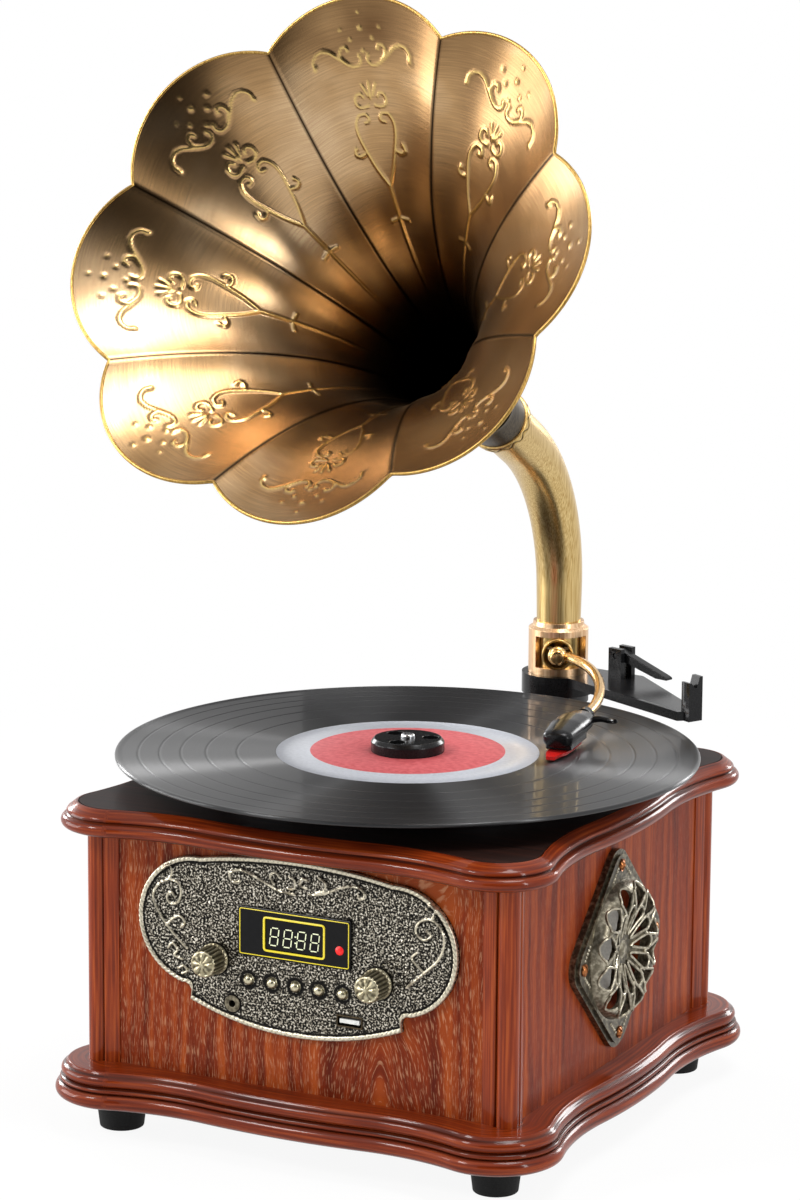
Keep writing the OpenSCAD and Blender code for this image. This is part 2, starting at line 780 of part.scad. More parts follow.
housing_r = 8;
housing_drop = 12;
housing_flange = 8;
housing_flange_t = 3;
bearing_floor = 10;
spindle_over = 2;

motor_turn = 135;

module motor_place() {
    rotate(motor_turn) translate([motor_at, 0, 0]) children();
}

module bearing_housing() {
    color("silver") difference() {
        union() {
            translate([0, 0, deck_bottom - housing_drop])
                cylinder(h = deck_t + housing_drop, r = housing_r);
            translate([0, 0, deck_bottom - housing_flange_t])
                cylinder(h = housing_flange_t, r = housing_r + housing_flange);
        }
        translate([0, 0, deck_bottom - bearing_floor])
            cylinder(h = deck_t + housing_drop, r = spindle_r + run_fit);
    }
}

module spindle() {
    low = deck_bottom - bearing_floor + slip_gap;
    color(gold) translate([0, 0, low])
        cylinder(h = record_top + adapter_h + spindle_over - low, r = spindle_r);
}

// Dished platter with an outer skirt and the belt track underneath
platter_web = 3;
platter_skirt = 3.5;
platter_hub_r = 12;
track_t = 3;
track_up = 0.5;

module platter() {
    under = platter_h - platter_web;
    skirt_r = platter_r - platter_skirt;
    inner_r = track_r - track_t;
    color("dimgray") translate([0, 0, platter_z]) rotate_extrude()
        polygon([[spindle_r, platter_h], [platter_r - 1, platter_h], [platter_r, platter_h - 1],
            [platter_r, 0], [skirt_r, 0], [skirt_r, under], [track_r, under], [track_r, track_up],
            [inner_r, track_up], [inner_r, under], [platter_hub_r, under], [platter_hub_r, 0],
            [spindle_r, 0]]);
}

module slip_mat() {
    color(black) translate([0, 0, mat_z]) difference() {
        cylinder(h = mat_t, r = platter_r);
        translate([0, 0, -1]) cylinder(h = mat_t + 2, r = spindle_r + run_fit);
    }
}

// Record with its raised label and rim
module record() {
    edge = record_t * 0.25;
    color("#1c1c1e") translate([0, 0, record_z]) rotate_extrude($fn = 180)
        polygon([[spindle_r + run_fit, 0], [record_r - 1, 0], [record_r, record_t / 2],
            [record_r - 1, record_t],
            [record_r - 4, record_t - edge], [label_r + 1, record_t - edge], [label_r, record_t],
            [spindle_r + run_fit, record_t]]);
}

// Single-record adapter with its three cut-outs
module adapter() {
    bevel = 2;
    color(black) translate([0, 0, record_top]) difference() {
        union() {
            cylinder(h = adapter_h - bevel, r = adapter_r);
            translate([0, 0, adapter_h - bevel])
                cylinder(h = bevel, r1 = adapter_r, r2 = adapter_r - bevel * 0.8);
        }
        translate([0, 0, -1]) cylinder(h = adapter_h + 2, r = spindle_r + run_fit);
        for (a = [0 : 120 : 240]) {
            rotate(a + 30) translate([adapter_r * 0.62, 0, adapter_h - 2 * bevel])
                cylinder(h = adapter_h, r = adapter_r * 0.22);
        }
    }
}

motor_r = 17;
motor_h = 22;
motor_shaft_r = 1;
motor_floor = 4;
pulley_flange = 1;
pulley_under = 0.8;
pulley_gap = 0.6;
pulley_cone = 0.4;

module motor() {
    color("silver") motor_place() difference() {
        translate([0, 0, deck_bottom - motor_h]) cylinder(h = motor_h, r = motor_r);
        translate([0, 0, deck_bottom - motor_h + motor_floor])
            cylinder(h = motor_h, r = motor_shaft_r + run_fit);
    }
}

module motor_pulley() {
    top = platter_h - platter_web - pulley_gap;
    flange_r = pulley_r + pulley_flange;
    shaft_low = deck_bottom - motor_h + motor_floor + slip_gap;
    color(gold) motor_place() {
        translate([0, 0, platter_z]) rotate_extrude() polygon([
            [0, -pulley_under], [flange_r, -pulley_under], [flange_r, 0], [pulley_r, pulley_cone],
            [pulley_r, top - pulley_cone], [flange_r, top], [0, top]]);
        translate([0, 0, shaft_low]) cylinder(h = platter_z - pulley_cone - shaft_low, r = motor_shaft_r);
    }
}

// Flat belt round the track and the pulley, grown by g
module belt_loop(g, h) {
    r1 = track_r + g;
    r2 = pulley_r + g;
    a = acos((r1 - r2) / motor_at);
    rotate(motor_turn) {
        cylinder(h = h, r = r1);
        translate([motor_at, 0, 0]) cylinder(h = h, r = r2);
        linear_extrude(h) polygon([[r1 * cos(a), r1 * sin(a)], [r1 * cos(a), -r1 * sin(a)],
            [motor_at + r2 * cos(a), -r2 * sin(a)], [motor_at + r2 * cos(a), r2 * sin(a)]]);
    }
}

module drive_belt() {
    belt_h = 3;
    belt_t = 0.8;
    slack = slip_gap / 3;
    color(black) translate([0, 0, platter_z + pulley_flange]) difference() {
        belt_loop(belt_t + slack, belt_h);
        translate([0, 0, -1]) belt_loop(slack, belt_h + 2);
    }
}

// Frame of the horn: origin in the mouth, z along the axis out of the mouth, y up
module horn_frame() {
    translate([0, horn_y, horn_z]) rotate([90 - horn_up, 0, 0]) children();
}

// Radius and slope of the bell along its length, t = 0 at the neck and 1 at the notches
flare_end = notch_r - neck_r - flare;
function bell_r(t) = neck_r + flare * t + flare_end * pow(t, 3);
function bell_slope(t) = atan((flare + 3 * flare_end * t * t) / horn_len);
petal_half = 180 / petals;
lobe_chord = notch_r * sin(petal_half);
lobe_sag = tip_r - notch_r * cos(petal_half);
petal_r = (lobe_chord * lobe_chord + lobe_sag * lobe_sag) / (2 * lobe_sag);
petal_at = tip_r - petal_r;
// Radius of the scalloped rim, w = -1 and 1 at the notches and 0 at the tip
function rim_r(w) = let (a = w * petal_half)
    petal_at * cos(a) + sqrt(petal_r * petal_r - pow(petal_at * sin(a), 2));
function swell(w, t) = 1 + petal_bulge * (1 - w * w) * sqrt(t);
function rim_t(w) = 1 + (rim_r(w) / swell(w, 1) - notch_r) / (flare + 3 * flare_end);

bell_rings = 18;
bell_steps = 8;
bell_around = petals * bell_steps;

function bell_point(i, j, out) = let (
    w = 2 * (j % bell_steps) / bell_steps - 1,
    t = rim_t(w) * pow(i / bell_rings, 0.8),
    a = petal_turn + petal_half * (2 * j / bell_steps - 1),
    b = bell_slope(t),
    r = bell_r(t) * swell(w, t) + out * sheet * cos(b))
    [r * cos(a), r * sin(a), -horn_len * (1 - t) - out * sheet * sin(b)];

// Closed skin of rings: rows of n points each, the last row joined to the first
function ring_faces(rows, n) = [for (i = [0 : rows - 1]) for (j = [0 : n - 1])
    let (i2 = (i + 1) % rows, j2 = (j + 1) % n)
    each [[i * n + j, i2 * n + j, i2 * n + j2], [i * n + j, i2 * n + j2, i * n + j2]]];

module horn_bell() {
    inner = [for (i = [0 : bell_rings]) for (j = [0 : bell_around - 1]) bell_point(i, j, 0)];
    outer = [for (i = [bell_rings : -1 : 0]) for (j = [0 : bell_around - 1]) bell_point(i, j, 1)];
    color("#8a6a3a") horn_frame()
        polyhedron(concat(inner, outer), ring_faces(2 * (bell_rings + 1), bell_around));
}

ferrule_from = 198;
ferrule_wall = 1.6;
ferrule_ease = 0.2;
ring_l = 6;
ring_in = 2.4;
ring_out = 0.4;
ring_bead_r = 1.6;
neck_out_r = neck_r + sheet + flare * 0.13;
ferrule_floor = 2.8;
ring_at = horn_len + 3;

// Dark band round the neck of the bell
module neck_ferrule() {
    r0 = bell_r(1 - ferrule_from / horn_len) + sheet + slip_gap + ferrule_ease;
    color("#3a342c") horn_frame() translate([0, 0, -ring_at]) rotate_extrude()
        polygon([[neck_r + sheet + slip_gap, ferrule_floor], [r0, ring_at - ferrule_from],
            [r0 + ferrule_wall, ring_at - ferrule_from], [neck_out_r + ferrule_wall, 0], [neck_r, 0],
            [neck_r, ferrule_floor]]);
}

// Gold ring with a rolled edge between the ferrule and the elbow
module neck_ring() {
    r = elbow_top_r;
    color(gold) horn_frame() translate([0, 0, -ring_at - ring_l]) rotate_extrude()
        polygon(concat([[r - ring_in, 0], [r + ring_out, 0]],
            arc([r + 2 * ring_out, ring_l / 2], ring_bead_r, -70, 70, 6),
            [[r + ring_out, ring_l], [r - ring_in, ring_l]]));
}

// Centreline of the elbow, from the collar to the neck ring
elbow_turn = 90 - horn_up;
corner_d = (column_y - horn_y) / cos(horn_up);
corner_z = horn_z - corner_d * sin(horn_up);
elbow_tangent = elbow_bend * tan(elbow_turn / 2);
spigot_z = collar_z + collar_h - spigot_h;
elbow_from = collar_z + collar_h + 1;
elbow_shoulder = 0.6;
bend_z = corner_z - elbow_tangent;
bend_end = corner_d - elbow_tangent - ring_at - ring_l;
elbow_mid_r = (elbow_r + elbow_top_r) / 2;

// Solid of the elbow, thinner by w all round: cone, bend and cone, run past its ends by over.
// The cones reach a little way into the bend, a hair thinner than it.
module elbow_solid(w, over) {
    lap = 0.4;
    hair = 0.1;
    translate([0, column_y, elbow_from - over]) cylinder(h = bend_z - elbow_from + over + lap,
        r1 = elbow_r + elbow_shoulder - w, r2 = elbow_mid_r - w - hair);
    translate([0, column_y - elbow_bend, bend_z]) rotate([90, 0, 90]) rotate_extrude(angle = elbow_turn)
        translate([elbow_bend, 0]) circle(r = elbow_mid_r - w);
    horn_frame() translate([0, 0, -ring_at - ring_l - bend_end - lap]) cylinder(h = bend_end + over + lap,
        r1 = elbow_mid_r - w - hair, r2 = elbow_top_r - w);
}

module elbow() {
    color(gold) {
        difference() {
            elbow_solid(0, 0);
            elbow_solid(elbow_wall, 1);
        }
        translate([0, column_y, spigot_z]) difference() {
            cylinder(h = elbow_from - spigot_z + 0.2, r = elbow_r);
            translate([0, 0, -1]) cylinder(h = elbow_from - spigot_z + 3, r = elbow_r - elbow_wall);
        }
    }
}

module column() {
    translate([0, column_y, 0]) children();
}

// Wedge of a full turn from angle a0 to a1, in plan, out to radius r
module plan_wedge(a0, a1, r, z0, z1) {
    n = ceil((a1 - a0) / 30);
    translate([0, 0, z0]) linear_extrude(z1 - z0) polygon(concat([[0, 0]],
        [for (i = [0 : n]) let (a = a0 + (a1 - a0) * i / n) [r * cos(a), r * sin(a)]]));
}

// Collar of the column, with the window through which the tonearm swings
collar_web = 1.5;

module collar() {
    window = asin((socket_r + slip_gap) / collar_in) + 1;
    aim = arm_angle - 90;
    top = collar_z + collar_h;
    web_low = top - spigot_h - collar_web;
    seat = spigot_z - slip_gap;
    bore = elbow_r + run_fit;
    color("#c98a4e") column() difference() {
        rotate_extrude() polygon([[0, web_low], [0, seat], [bore, seat], [bore, top], [collar_r - 2.6, top],
            [collar_r - 2.2, top - 2.4], [collar_r, top - 4], [collar_r, collar_z + 2.2],
            [collar_r - 1.4, collar_z], [collar_in, collar_z], [collar_in, web_low]]);
        plan_wedge(aim - swing_in - window, aim + swing_out + window, 3 * collar_r,
            pivot_z - socket_r - slip_gap, pivot_z + socket_r + slip_gap);
    }
}

// Frame of the tonearm: x from the pivot towards the needle, y outwards, z up
module arm_frame() {
    translate([0, column_y, pivot_z]) rotate(arm_angle - 90) children();
}

module pivot_sleeve() {
    low = collar_z + slip_gap - pivot_z;
    high = socket_r + slip_gap / 2;
    room = eye_r + 1.5;
    color(gold) arm_frame() difference() {
        union() {
            translate([0, 0, low]) cylinder(h = high - low, r = sleeve_r);
            rotate([0, 90, 0]) cylinder(h = socket_out, r = socket_r);
        }
        rotate([0, 90, 0]) cylinder(h = socket_out + 1, r = socket_in);
        translate([-room, -eye_half - slip_gap, -room])
            cube([2 * room, 2 * (eye_half + slip_gap), 2 * room]);
        translate([0, 0, low - 1]) cylinder(h = spigot_h + 2, r = spigot_r + run_fit);
        rotate([90, 0, 0]) cylinder(h = 3 * sleeve_r, r = pin_r, center = true);
    }
}

module hinge_pin() {
    pin_l = 2 * (sleeve_r - pin_short);
    color("silver") arm_frame() rotate([90, 0, 0]) cylinder(h = pin_l, r = pin_r, center = true);
}

// Bent arm tube: four control points of its curve, from the stub to the headshell
stub_r = 3.8;
plug_r = tube_r - 0.3;
plug_l = 6;
stub_l = socket_out;
shell_turn = -atan2(shell_side, arm_len - shell_at);
tube_out = 26;
tube_rise = 4;
tube_back = plug_l + 34;
function on_shell_line(d) = [shell_at - d * cos(shell_turn), shell_side - d * sin(shell_turn), -shell_drop];
curve = [[stub_l - 1, 0.2, 0], [stub_l + tube_out, tube_bow + tube_rise, -0.4],
    on_shell_line(tube_back), on_shell_line(plug_l)];
function bezier(t) = pow(1 - t, 3) * curve[0] + 3 * t * pow(1 - t, 2) * curve[1]
    + 3 * t * t * (1 - t) * curve[2] + pow(t, 3) * curve[3];
function bezier_dir(t) = let (d = (1 - t) * (1 - t) * (curve[1] - curve[0])
    + 2 * t * (1 - t) * (curve[2] - curve[1]) + t * t * (curve[3] - curve[2])) d / norm(d);

module arm_tube() {
    n = 12;
    steps = 18;
    points = [for (i = [0 : steps]) let (p = bezier(i / steps), d = bezier_dir(i / steps),
        side = cross([0, 0, 1], d) / norm(cross([0, 0, 1], d)), up = cross(d, side))
        for (j = [0 : n - 1]) p + tube_r * (cos(360 * j / n) * side + sin(360 * j / n) * up)];
    faces = concat([[for (j = [0 : n - 1]) j]], [[for (j = [0 : n - 1]) steps * n + n - 1 - j]],
        [for (i = [0 : steps - 1]) for (j = [0 : n - 1]) let (k = (j + 1) % n)
            each [[i * n + j, (i + 1) * n + k, i * n + k], [i * n + j, (i + 1) * n + j, (i + 1) * n + k]]]);
    color(gold) arm_frame() {
        difference() {
            union() {
                rotate([90, 0, 0]) cylinder(h = 2 * eye_half, r = eye_r, center = true);
                rotate([0, 90, 0]) cylinder(h = stub_l, r = stub_r);
            }
            rotate([90, 0, 0]) cylinder(h = 4 * eye_half, r = pin_r + run_fit, center = true);
        }
        polyhedron(points, faces);
        shell_frame() translate([-plug_l - 2, 0, 0]) rotate([0, 90, 0])
            cylinder(h = plug_l + 2, r = plug_r);
    }
}

// Frame of the headshell: x forward along it, origin at the end of the tube
module shell_frame() {
    translate([shell_at, shell_side, -shell_drop]) rotate(shell_turn) children();
}

shell_l = 54;
shell_back_r = 10.5;
shell_front_r = 7.5;
shell_low = -1.6;
shell_high = 3;
shell_neck = 5;
shell_neck_wall = 1.4;
shell_lap = 0.5;
finger_r = 7.5;
finger_bar_r = 1.1;
finger_at = [6, shell_back_r + 6.5, 0.8];
cartridge_at = 18;
cartridge_front = 6;
needle_at = norm([arm_len - shell_at, shell_side]);
needle_drop = pivot_z - shell_drop - record_top - slip_gap;
cartridge_low = -7.2;
cartridge_y = 6.8;

module headshell() {
    far = shell_l - shell_front_r;
    near = shell_back_r - 1;
    a = acos((shell_back_r - shell_front_r) / (far - near));
    color(black) arm_frame() shell_frame() {
        translate([0, 0, shell_low]) {
            difference() {
                linear_extrude(shell_high - shell_low) polygon(concat(
                    arc([near, 0], shell_back_r, a, 360 - a, 20), arc([far, 0], shell_front_r, -a, a, 12)));
                translate([-2, -2 * shell_back_r, -1]) cube([2 + run_fit, 4 * shell_back_r, 10]);
            }
        }
        translate([-shell_neck, 0, 0]) rotate([0, 90, 0]) difference() {
            cylinder(h = shell_neck + run_fit + shell_lap, r = tube_r + shell_neck_wall);
            translate([0, 0, -1]) cylinder(h = shell_neck + 1 + run_fit, r = plug_r + run_fit);
        }
        translate(finger_at) rotate(-90) rotate_extrude(angle = 100) translate([finger_r, 0])
            circle(r = finger_bar_r, $fn = 24);
    }
}

module cartridge() {
    color(black) arm_frame() shell_frame() translate([cartridge_at, -cartridge_y, cartridge_low])
        cube([shell_l - cartridge_front - cartridge_at, 2 * cartridge_y, shell_low - cartridge_low]);
}

// Red stylus holder: a wedge clipped under the cartridge, with its needle
module stylus_holder() {
    half = cartridge_y - 0.6;
    clip = cartridge_at + 6;
    front = shell_l - cartridge_front + slip_gap;
    tip_low = 1.2 - needle_drop;
    color("red") arm_frame() shell_frame() {
        translate([0, half, 0]) rotate([90, 0, 0]) linear_extrude(2 * half)
            polygon([[clip, cartridge_low], [clip, cartridge_low - 0.9], [needle_at - 1, tip_low],
                [needle_at + 1, tip_low + 0.4], [shell_l + 3, cartridge_low + 2],
                [front, cartridge_low + 2], [front, cartridge_low]]);
        translate([needle_at - 0.6, 0, -needle_drop]) cylinder(h = 2, r1 = 0.15, r2 = 0.5, $fn = 24);
    }
}

// Black arm base under the collar: hub, plate, arm rest and the post of the cue lever
hub_r = collar_r + 0.5;
hub_h = 7.7;
base_ring_r = hub_r + 3;
plate_z = collar_z - 1.4;
plate_up = plate_z + plate_bar;
rest_angle = 62;
rest_d = 118;
rest_top = 24;
rest_w = 9;
rest_deep = 6.5;
cue_at = [38, 1];
cue_lean = -16;
cue_up = 13;
cue_half = 4.5;
cue_eye = 2.6;
cue_cheek = 3;
cue_play = 0.4;
base_ease = 0.2;

module arm_base() {
    cheek_at = cue_eye + cue_play + cue_cheek / 2;
    rest_aim = rest_angle - 90;
    rest_spot = rest_d * [cos(rest_aim), sin(rest_aim)];
    color(black) column() difference() {
        union() {
            translate([0, 0, collar_z - 1]) cylinder(h = spigot_h + 1, r = spigot_r);
            difference() {
                union() {
                    translate([0, 0, plate_z]) linear_extrude(plate_bar) polygon([[10, -13.5],
                        rest_spot + [-6, -5.5], rest_spot + [4, 2], cue_at + [9, 9], [10, 16]]);
                    translate([0, 0, collar_z - hub_h])
                        cylinder(h = plate_up - collar_z + hub_h, r = base_ring_r);
                    rotate(rest_aim) translate([rest_d - rest_deep / 2, 0, plate_z]) rotate([90, 0, 90])
                        linear_extrude(rest_deep) polygon([[-rest_w / 2, 0], [rest_w / 2, 0],
                            [rest_w / 2, rest_top], [rest_w / 2 - 2, rest_top],
                            [0.6, rest_top - 6], [-0.6, rest_top - 6],
                            [-rest_w / 2 + 1.4, rest_top - 3], [-rest_w / 2, rest_top - 3]]);
                    for (e = [-1, 1]) {
                        translate([cue_at.x, cue_at.y, plate_z]) rotate(cue_lean)
                            translate([-cue_half, e * cheek_at - cue_cheek / 2, 0])
                            cube([2 * cue_half, cue_cheek, cue_up + plate_bar + 4]);
                    }
                }
                translate([0, 0, collar_z]) cylinder(h = collar_h, r = collar_r + base_ease);
            }
        }
        translate([cue_at.x, cue_at.y, plate_up + cue_up]) rotate(cue_lean) rotate([90, 0, 0])
            cylinder(h = 4 * (cue_eye + cue_cheek), r = pin_r + run_fit, center = true);
    }
}

// Cue lever: an eye with its trunnions between the posts, and a finger tab
module cue_lever() {
    reach = 34;
    eye_top = 2.8;
    tab_t = 1.2;
    tab_z = -cue_up * 0.62;
    color(black) column() translate([cue_at.x, cue_at.y, plate_up + cue_up]) rotate(cue_lean) {
        rotate([90, 0, 0]) cylinder(h = 2 * cue_eye, r = eye_top + 0.2, center = true);
        rotate([90, 0, 0]) cylinder(h = 2 * (cue_eye + cue_cheek - 0.1), r = pin_r, center = true);
        translate([0, cue_eye, 0]) rotate([90, 0, 0]) linear_extrude(2 * cue_eye)
            polygon([[1, eye_top], [reach - 2, tab_z + 0.9], [reach, tab_z], [reach, tab_z - tab_t],
                [reach - 8, tab_z - tab_t], [1, -eye_top]]);
    }
}

// Cast bracket that carries the column from the rear panel
module bracket_screw_places() {
    for (x = [-1, 1]) {
        for (z = [-1, 1]) {
            translate([0, panel_y + bracket_foot_t, bracket_z]) rotate([90, 0, 0])
                translate([x * (bracket_foot_x - bracket_corner), z * (bracket_foot_z - bracket_corner), 0])
                children();
        }
    }
}

module rear_bracket() {
    bend_z = bracket_z + bracket_bend;
    reach = column_y - bracket_bend - panel_y;
    top = collar_z - hub_h;
    c = bracket_corner;
    color(black) difference() {
        union() {
            translate([0, panel_y + bracket_foot_t, bracket_z]) rotate([90, 0, 0]) {
                for (x = [-1, 1]) {
                    for (z = [-1, 1]) {
                        translate([x * (bracket_foot_x - c), z * (bracket_foot_z - c), 0])
                            cylinder(h = bracket_foot_t, r = c);
                    }
                }
                translate([-bracket_foot_x + c, -bracket_foot_z, 0])
                    cube([2 * (bracket_foot_x - c), 2 * bracket_foot_z, bracket_foot_t]);
                translate([-bracket_foot_x, -bracket_foot_z + c, 0])
                    cube([2 * bracket_foot_x, 2 * (bracket_foot_z - c), bracket_foot_t]);
            }
            translate([0, panel_y + 1, bracket_z]) rotate([-90, 0, 0])
                cylinder(h = reach - 1, r = bracket_r);
            translate([0, column_y - bracket_bend, bend_z]) rotate([0, -90, 0]) rotate([0, 0, 90])
                rotate_extrude(angle = 90) translate([bracket_bend, 0]) circle(r = bracket_r, $fn = 64);
            translate([0, column_y, bend_z]) cylinder(h = top - bend_z, r = bracket_r);
            translate([0, column_y, top - bracket_cap]) cylinder(h = bracket_cap, r = hub_r);
        }
        bracket_screw_places() translate([0, 0, -1])
            cylinder(h = bracket_foot_t + 2, r = screw_r + run_fit);
    }
}

// The part stands on z = 0 with the middle of its box on the origin: from the lowest petal to the arm base
function mouth_y(p) = horn_y + p.y * sin(horn_up) - p.z * cos(horn_up);
bell_front = min([for (j = [0 : bell_around - 1]) for (skin = [0, 1])
    mouth_y(bell_point(bell_rings, j, skin))]);
middle_y = (column_y + base_ring_r + bell_front) / 2;

module place() {
    translate([0, -middle_y, 0]) children();
}

place() base_moulding();
place() base_board();
place() foot(1, 0);  // foot_front_left
place() foot(0, 0);  // foot_front_right
place() foot(1, 1);  // foot_rear_left
place() foot(0, 1);  // foot_rear_right
place() wood_screws();
place() post(1, 0);  // post_front_left
place() post(0, 0);  // post_front_right
place() post(1, 1);  // post_rear_left
place() post(0, 1);  // post_rear_right
place() front_panel();
place() side_panel(1);  // right_panel
place() side_panel(-1);  // left_panel
place() rear_panel();
place() power_inlet();
place() top_moulding();
place() top_deck();
place() control_plate();
place() display_bezel();
place() display_window();
place() control_board();
place() knob(-1);  // volume_knob
place() knob_shaft(-1);  // volume_shaft
place() knob(1);  // tuning_knob
place() knob_shaft(1);  // tuning_shaft
place() push_button(0);  // button_1
place() push_button(1);  // button_2
place() push_button(2);  // button_3
place() push_button(3);  // button_4
place() push_button(4);  // button_5
place() aux_jack();
place() usb_port();
place() speaker_grille(1);  // right_grille
place() speaker_grille(-1);  // left_grille
place() speaker_driver(1);  // right_speaker
place() speaker_driver(-1);  // left_speaker
place() bearing_housing();
place() spindle();
place() platter();
place() slip_mat();
place() record();
place() adapter();
place() motor();
place() motor_pulley();
place() drive_belt();
place() horn_bell();
place() neck_ferrule();
place() neck_ring();
place() elbow();
place() collar();
place() pivot_sleeve();
place() hinge_pin();
place() arm_tube();
place() headshell();
place() cartridge();
place() stylus_holder();
place() arm_base();
place() cue_lever();
place() rear_bracket();
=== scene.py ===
# Retro horn record player: the finish of every surface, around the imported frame.
import json
import math

import bmesh
import bpy
import numpy as np
from mathutils import Matrix, Vector, noise


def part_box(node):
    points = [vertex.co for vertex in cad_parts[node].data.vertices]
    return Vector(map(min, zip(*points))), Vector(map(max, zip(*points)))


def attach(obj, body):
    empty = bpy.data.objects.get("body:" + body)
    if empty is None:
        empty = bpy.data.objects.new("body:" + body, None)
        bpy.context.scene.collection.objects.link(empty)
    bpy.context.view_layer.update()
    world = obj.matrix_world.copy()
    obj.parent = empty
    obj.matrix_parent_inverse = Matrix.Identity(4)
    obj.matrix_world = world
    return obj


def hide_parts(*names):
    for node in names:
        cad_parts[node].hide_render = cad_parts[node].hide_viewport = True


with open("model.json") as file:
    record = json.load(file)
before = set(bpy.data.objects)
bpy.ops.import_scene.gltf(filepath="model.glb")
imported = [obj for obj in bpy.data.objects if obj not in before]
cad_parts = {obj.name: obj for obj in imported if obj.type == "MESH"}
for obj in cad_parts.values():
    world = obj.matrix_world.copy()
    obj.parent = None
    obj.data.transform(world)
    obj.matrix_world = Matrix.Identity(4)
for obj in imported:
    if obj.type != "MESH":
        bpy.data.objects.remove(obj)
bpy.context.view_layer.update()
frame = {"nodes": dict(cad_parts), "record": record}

# Sizes are in millimetres, measured from the foot of the spindle, with the front of the cabinet towards -Y.
MM = 0.001
spindle_low, spindle_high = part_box("spindle")
ORIGIN = np.array(((spindle_low.x + spindle_high.x) / 2, (spindle_low.y + spindle_high.y) / 2, 0.0))
BODY_OF = {node: body for body, nodes in frame["record"]["behaviour"]["bodies"].items() for node in nodes}


def box_mm(node):
    """Lowest and highest corner of a node, in millimetres from the foot of the spindle."""
    low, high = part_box(node)
    return (np.array(low) - ORIGIN) / MM, (np.array(high) - ORIGIN) / MM


# Cabinet sizes that the frame gives
PANEL_X = box_mm("right_panel")[1][0]
PANEL_Y = -box_mm("front_panel")[0][1]
BASE_LOW, BASE_TOP = box_mm("base_moulding")[0][2], box_mm("base_moulding")[1][2]
BODY_TOP, DECK_TOP = box_mm("top_moulding")[0][2], box_mm("top_moulding")[1][2]
DECK_LOW = box_mm("top_deck")[0][2]
RECORD_LOW, RECORD_TOP = box_mm("record")[0][2], box_mm("record")[1][2]
RECORD_R = box_mm("record")[1][0]
COLUMN_Y = (box_mm("collar")[0][1] + box_mm("collar")[1][1]) / 2
COLLAR_LOW, COLLAR_TOP = box_mm("collar")[0][2], box_mm("collar")[1][2]
COLLAR_R = box_mm("collar")[1][0]

# Serpentine outline: corner lobes, hollows and a bow in the middle of each side
LOBE_R, LOBE_X, LOBE_Y = 27, 106.5, 111
NECK_DEPTH, NECK_AT, BOW = 7, 60, 3.5
BASE_ROLL, TOP_NOSE, DECK_INSET = 7, 3, 6

# Horn: mouth, flare and petals
HORN_Y, HORN_Z, HORN_UP, HORN_LEN = -90, 451.5, 29, 222
NOTCH_R, TIP_R, NECK_R, FLARE = 122.3, 137.5, 13.5, 13.9
PETALS, PETAL_BULGE, PETAL_TURN, SHEET = 8, 0.07, 7.6, 1.4
ELBOW_R, ELBOW_TOP_R, ELBOW_BEND = 12.1, 14.6, 100
RING_AT, RING_L, FERRULE_FROM = HORN_LEN - 2.5, 6, 198

# Tonearm
PIVOT_Z = COLLAR_LOW + 16.3
ARM_ANGLE, ARM_LEN, TUBE_R, TUBE_BOW = 23.9, 184, 2.8, 26
SHELL_AT, SHELL_SIDE, SHELL_DROP, SHELL_L = 124, 16, 9.5, 54

# Camera of the photograph: where it looks, from which side, how far away, and its lens and film
VIEW_TARGET = (-4.05, -2.06, 265.55)
VIEW_AZIMUTH, VIEW_ELEVATION, VIEW_ROLL = 26.998, 11.665, 0.412
VIEW_DISTANCE, VIEW_LENS, VIEW_FILM, VIEW_NEAREST = 2216.0, 129.7, 36, 50


def axes(origin, x_axis, y_axis, z_axis):
    """Matrix of a local frame from its origin and its three axes."""
    m = np.eye(4)
    m[:3, 0], m[:3, 1], m[:3, 2], m[:3, 3] = x_axis, y_axis, z_axis, origin
    return m


def moved(points, matrix):
    """Points of a local frame, in the cabinet's frame."""
    points = np.asarray(points, float).reshape(-1, 3)
    return points @ matrix[:3, :3].T + matrix[:3, 3]


def turned(angle):
    """Unit vector at an angle in plan, in degrees."""
    return np.array((math.cos(math.radians(angle)), math.sin(math.radians(angle)), 0.0))


UP = np.array((0.0, 0.0, 1.0))
horn_sin, horn_cos = math.sin(math.radians(HORN_UP)), math.cos(math.radians(HORN_UP))
FRONT = axes((0, -PANEL_Y, 0), (1, 0, 0), (0, 0, 1), (0, -1, 0))
HORN = axes((0, HORN_Y, HORN_Z), (1, 0, 0), (0, horn_sin, horn_cos), (0, -horn_cos, horn_sin))
ARM = axes((0, COLUMN_Y, PIVOT_Z), turned(ARM_ANGLE - 90), turned(ARM_ANGLE), UP)
shell_turn = -math.degrees(math.atan2(SHELL_SIDE, ARM_LEN - SHELL_AT))
SHELL = ARM @ axes((SHELL_AT, SHELL_SIDE, -SHELL_DROP), turned(shell_turn), turned(shell_turn + 90), UP)


def grille_axes(side):
    """Frame of a speaker grille, z out of the cabinet: side 1 is right, -1 is left."""
    low, high = box_mm("right_grille")
    return axes((side * PANEL_X, 0, (low[2] + high[2]) / 2), (0, side, 0), (0, 0, 1), (side, 0, 0))


# Mesh helpers

WELD, NODE_WELD = 0.002 * MM, 0.01 * MM


def raw_mesh(name, points, faces):
    """A mesh in the scene's metres from points in millimetres."""
    mesh = bpy.data.meshes.new(name)
    mesh.from_pydata((np.asarray(points, float) * MM + ORIGIN).tolist(), [], faces)
    return mesh


def closed_up(mesh):
    """Joins points that fall together and turns every face outwards."""
    bm = bmesh.new()
    bm.from_mesh(mesh)
    bmesh.ops.remove_doubles(bm, verts=bm.verts, dist=WELD)
    bmesh.ops.recalc_face_normals(bm, faces=bm.faces)
    bm.to_mesh(mesh)
    bm.free()


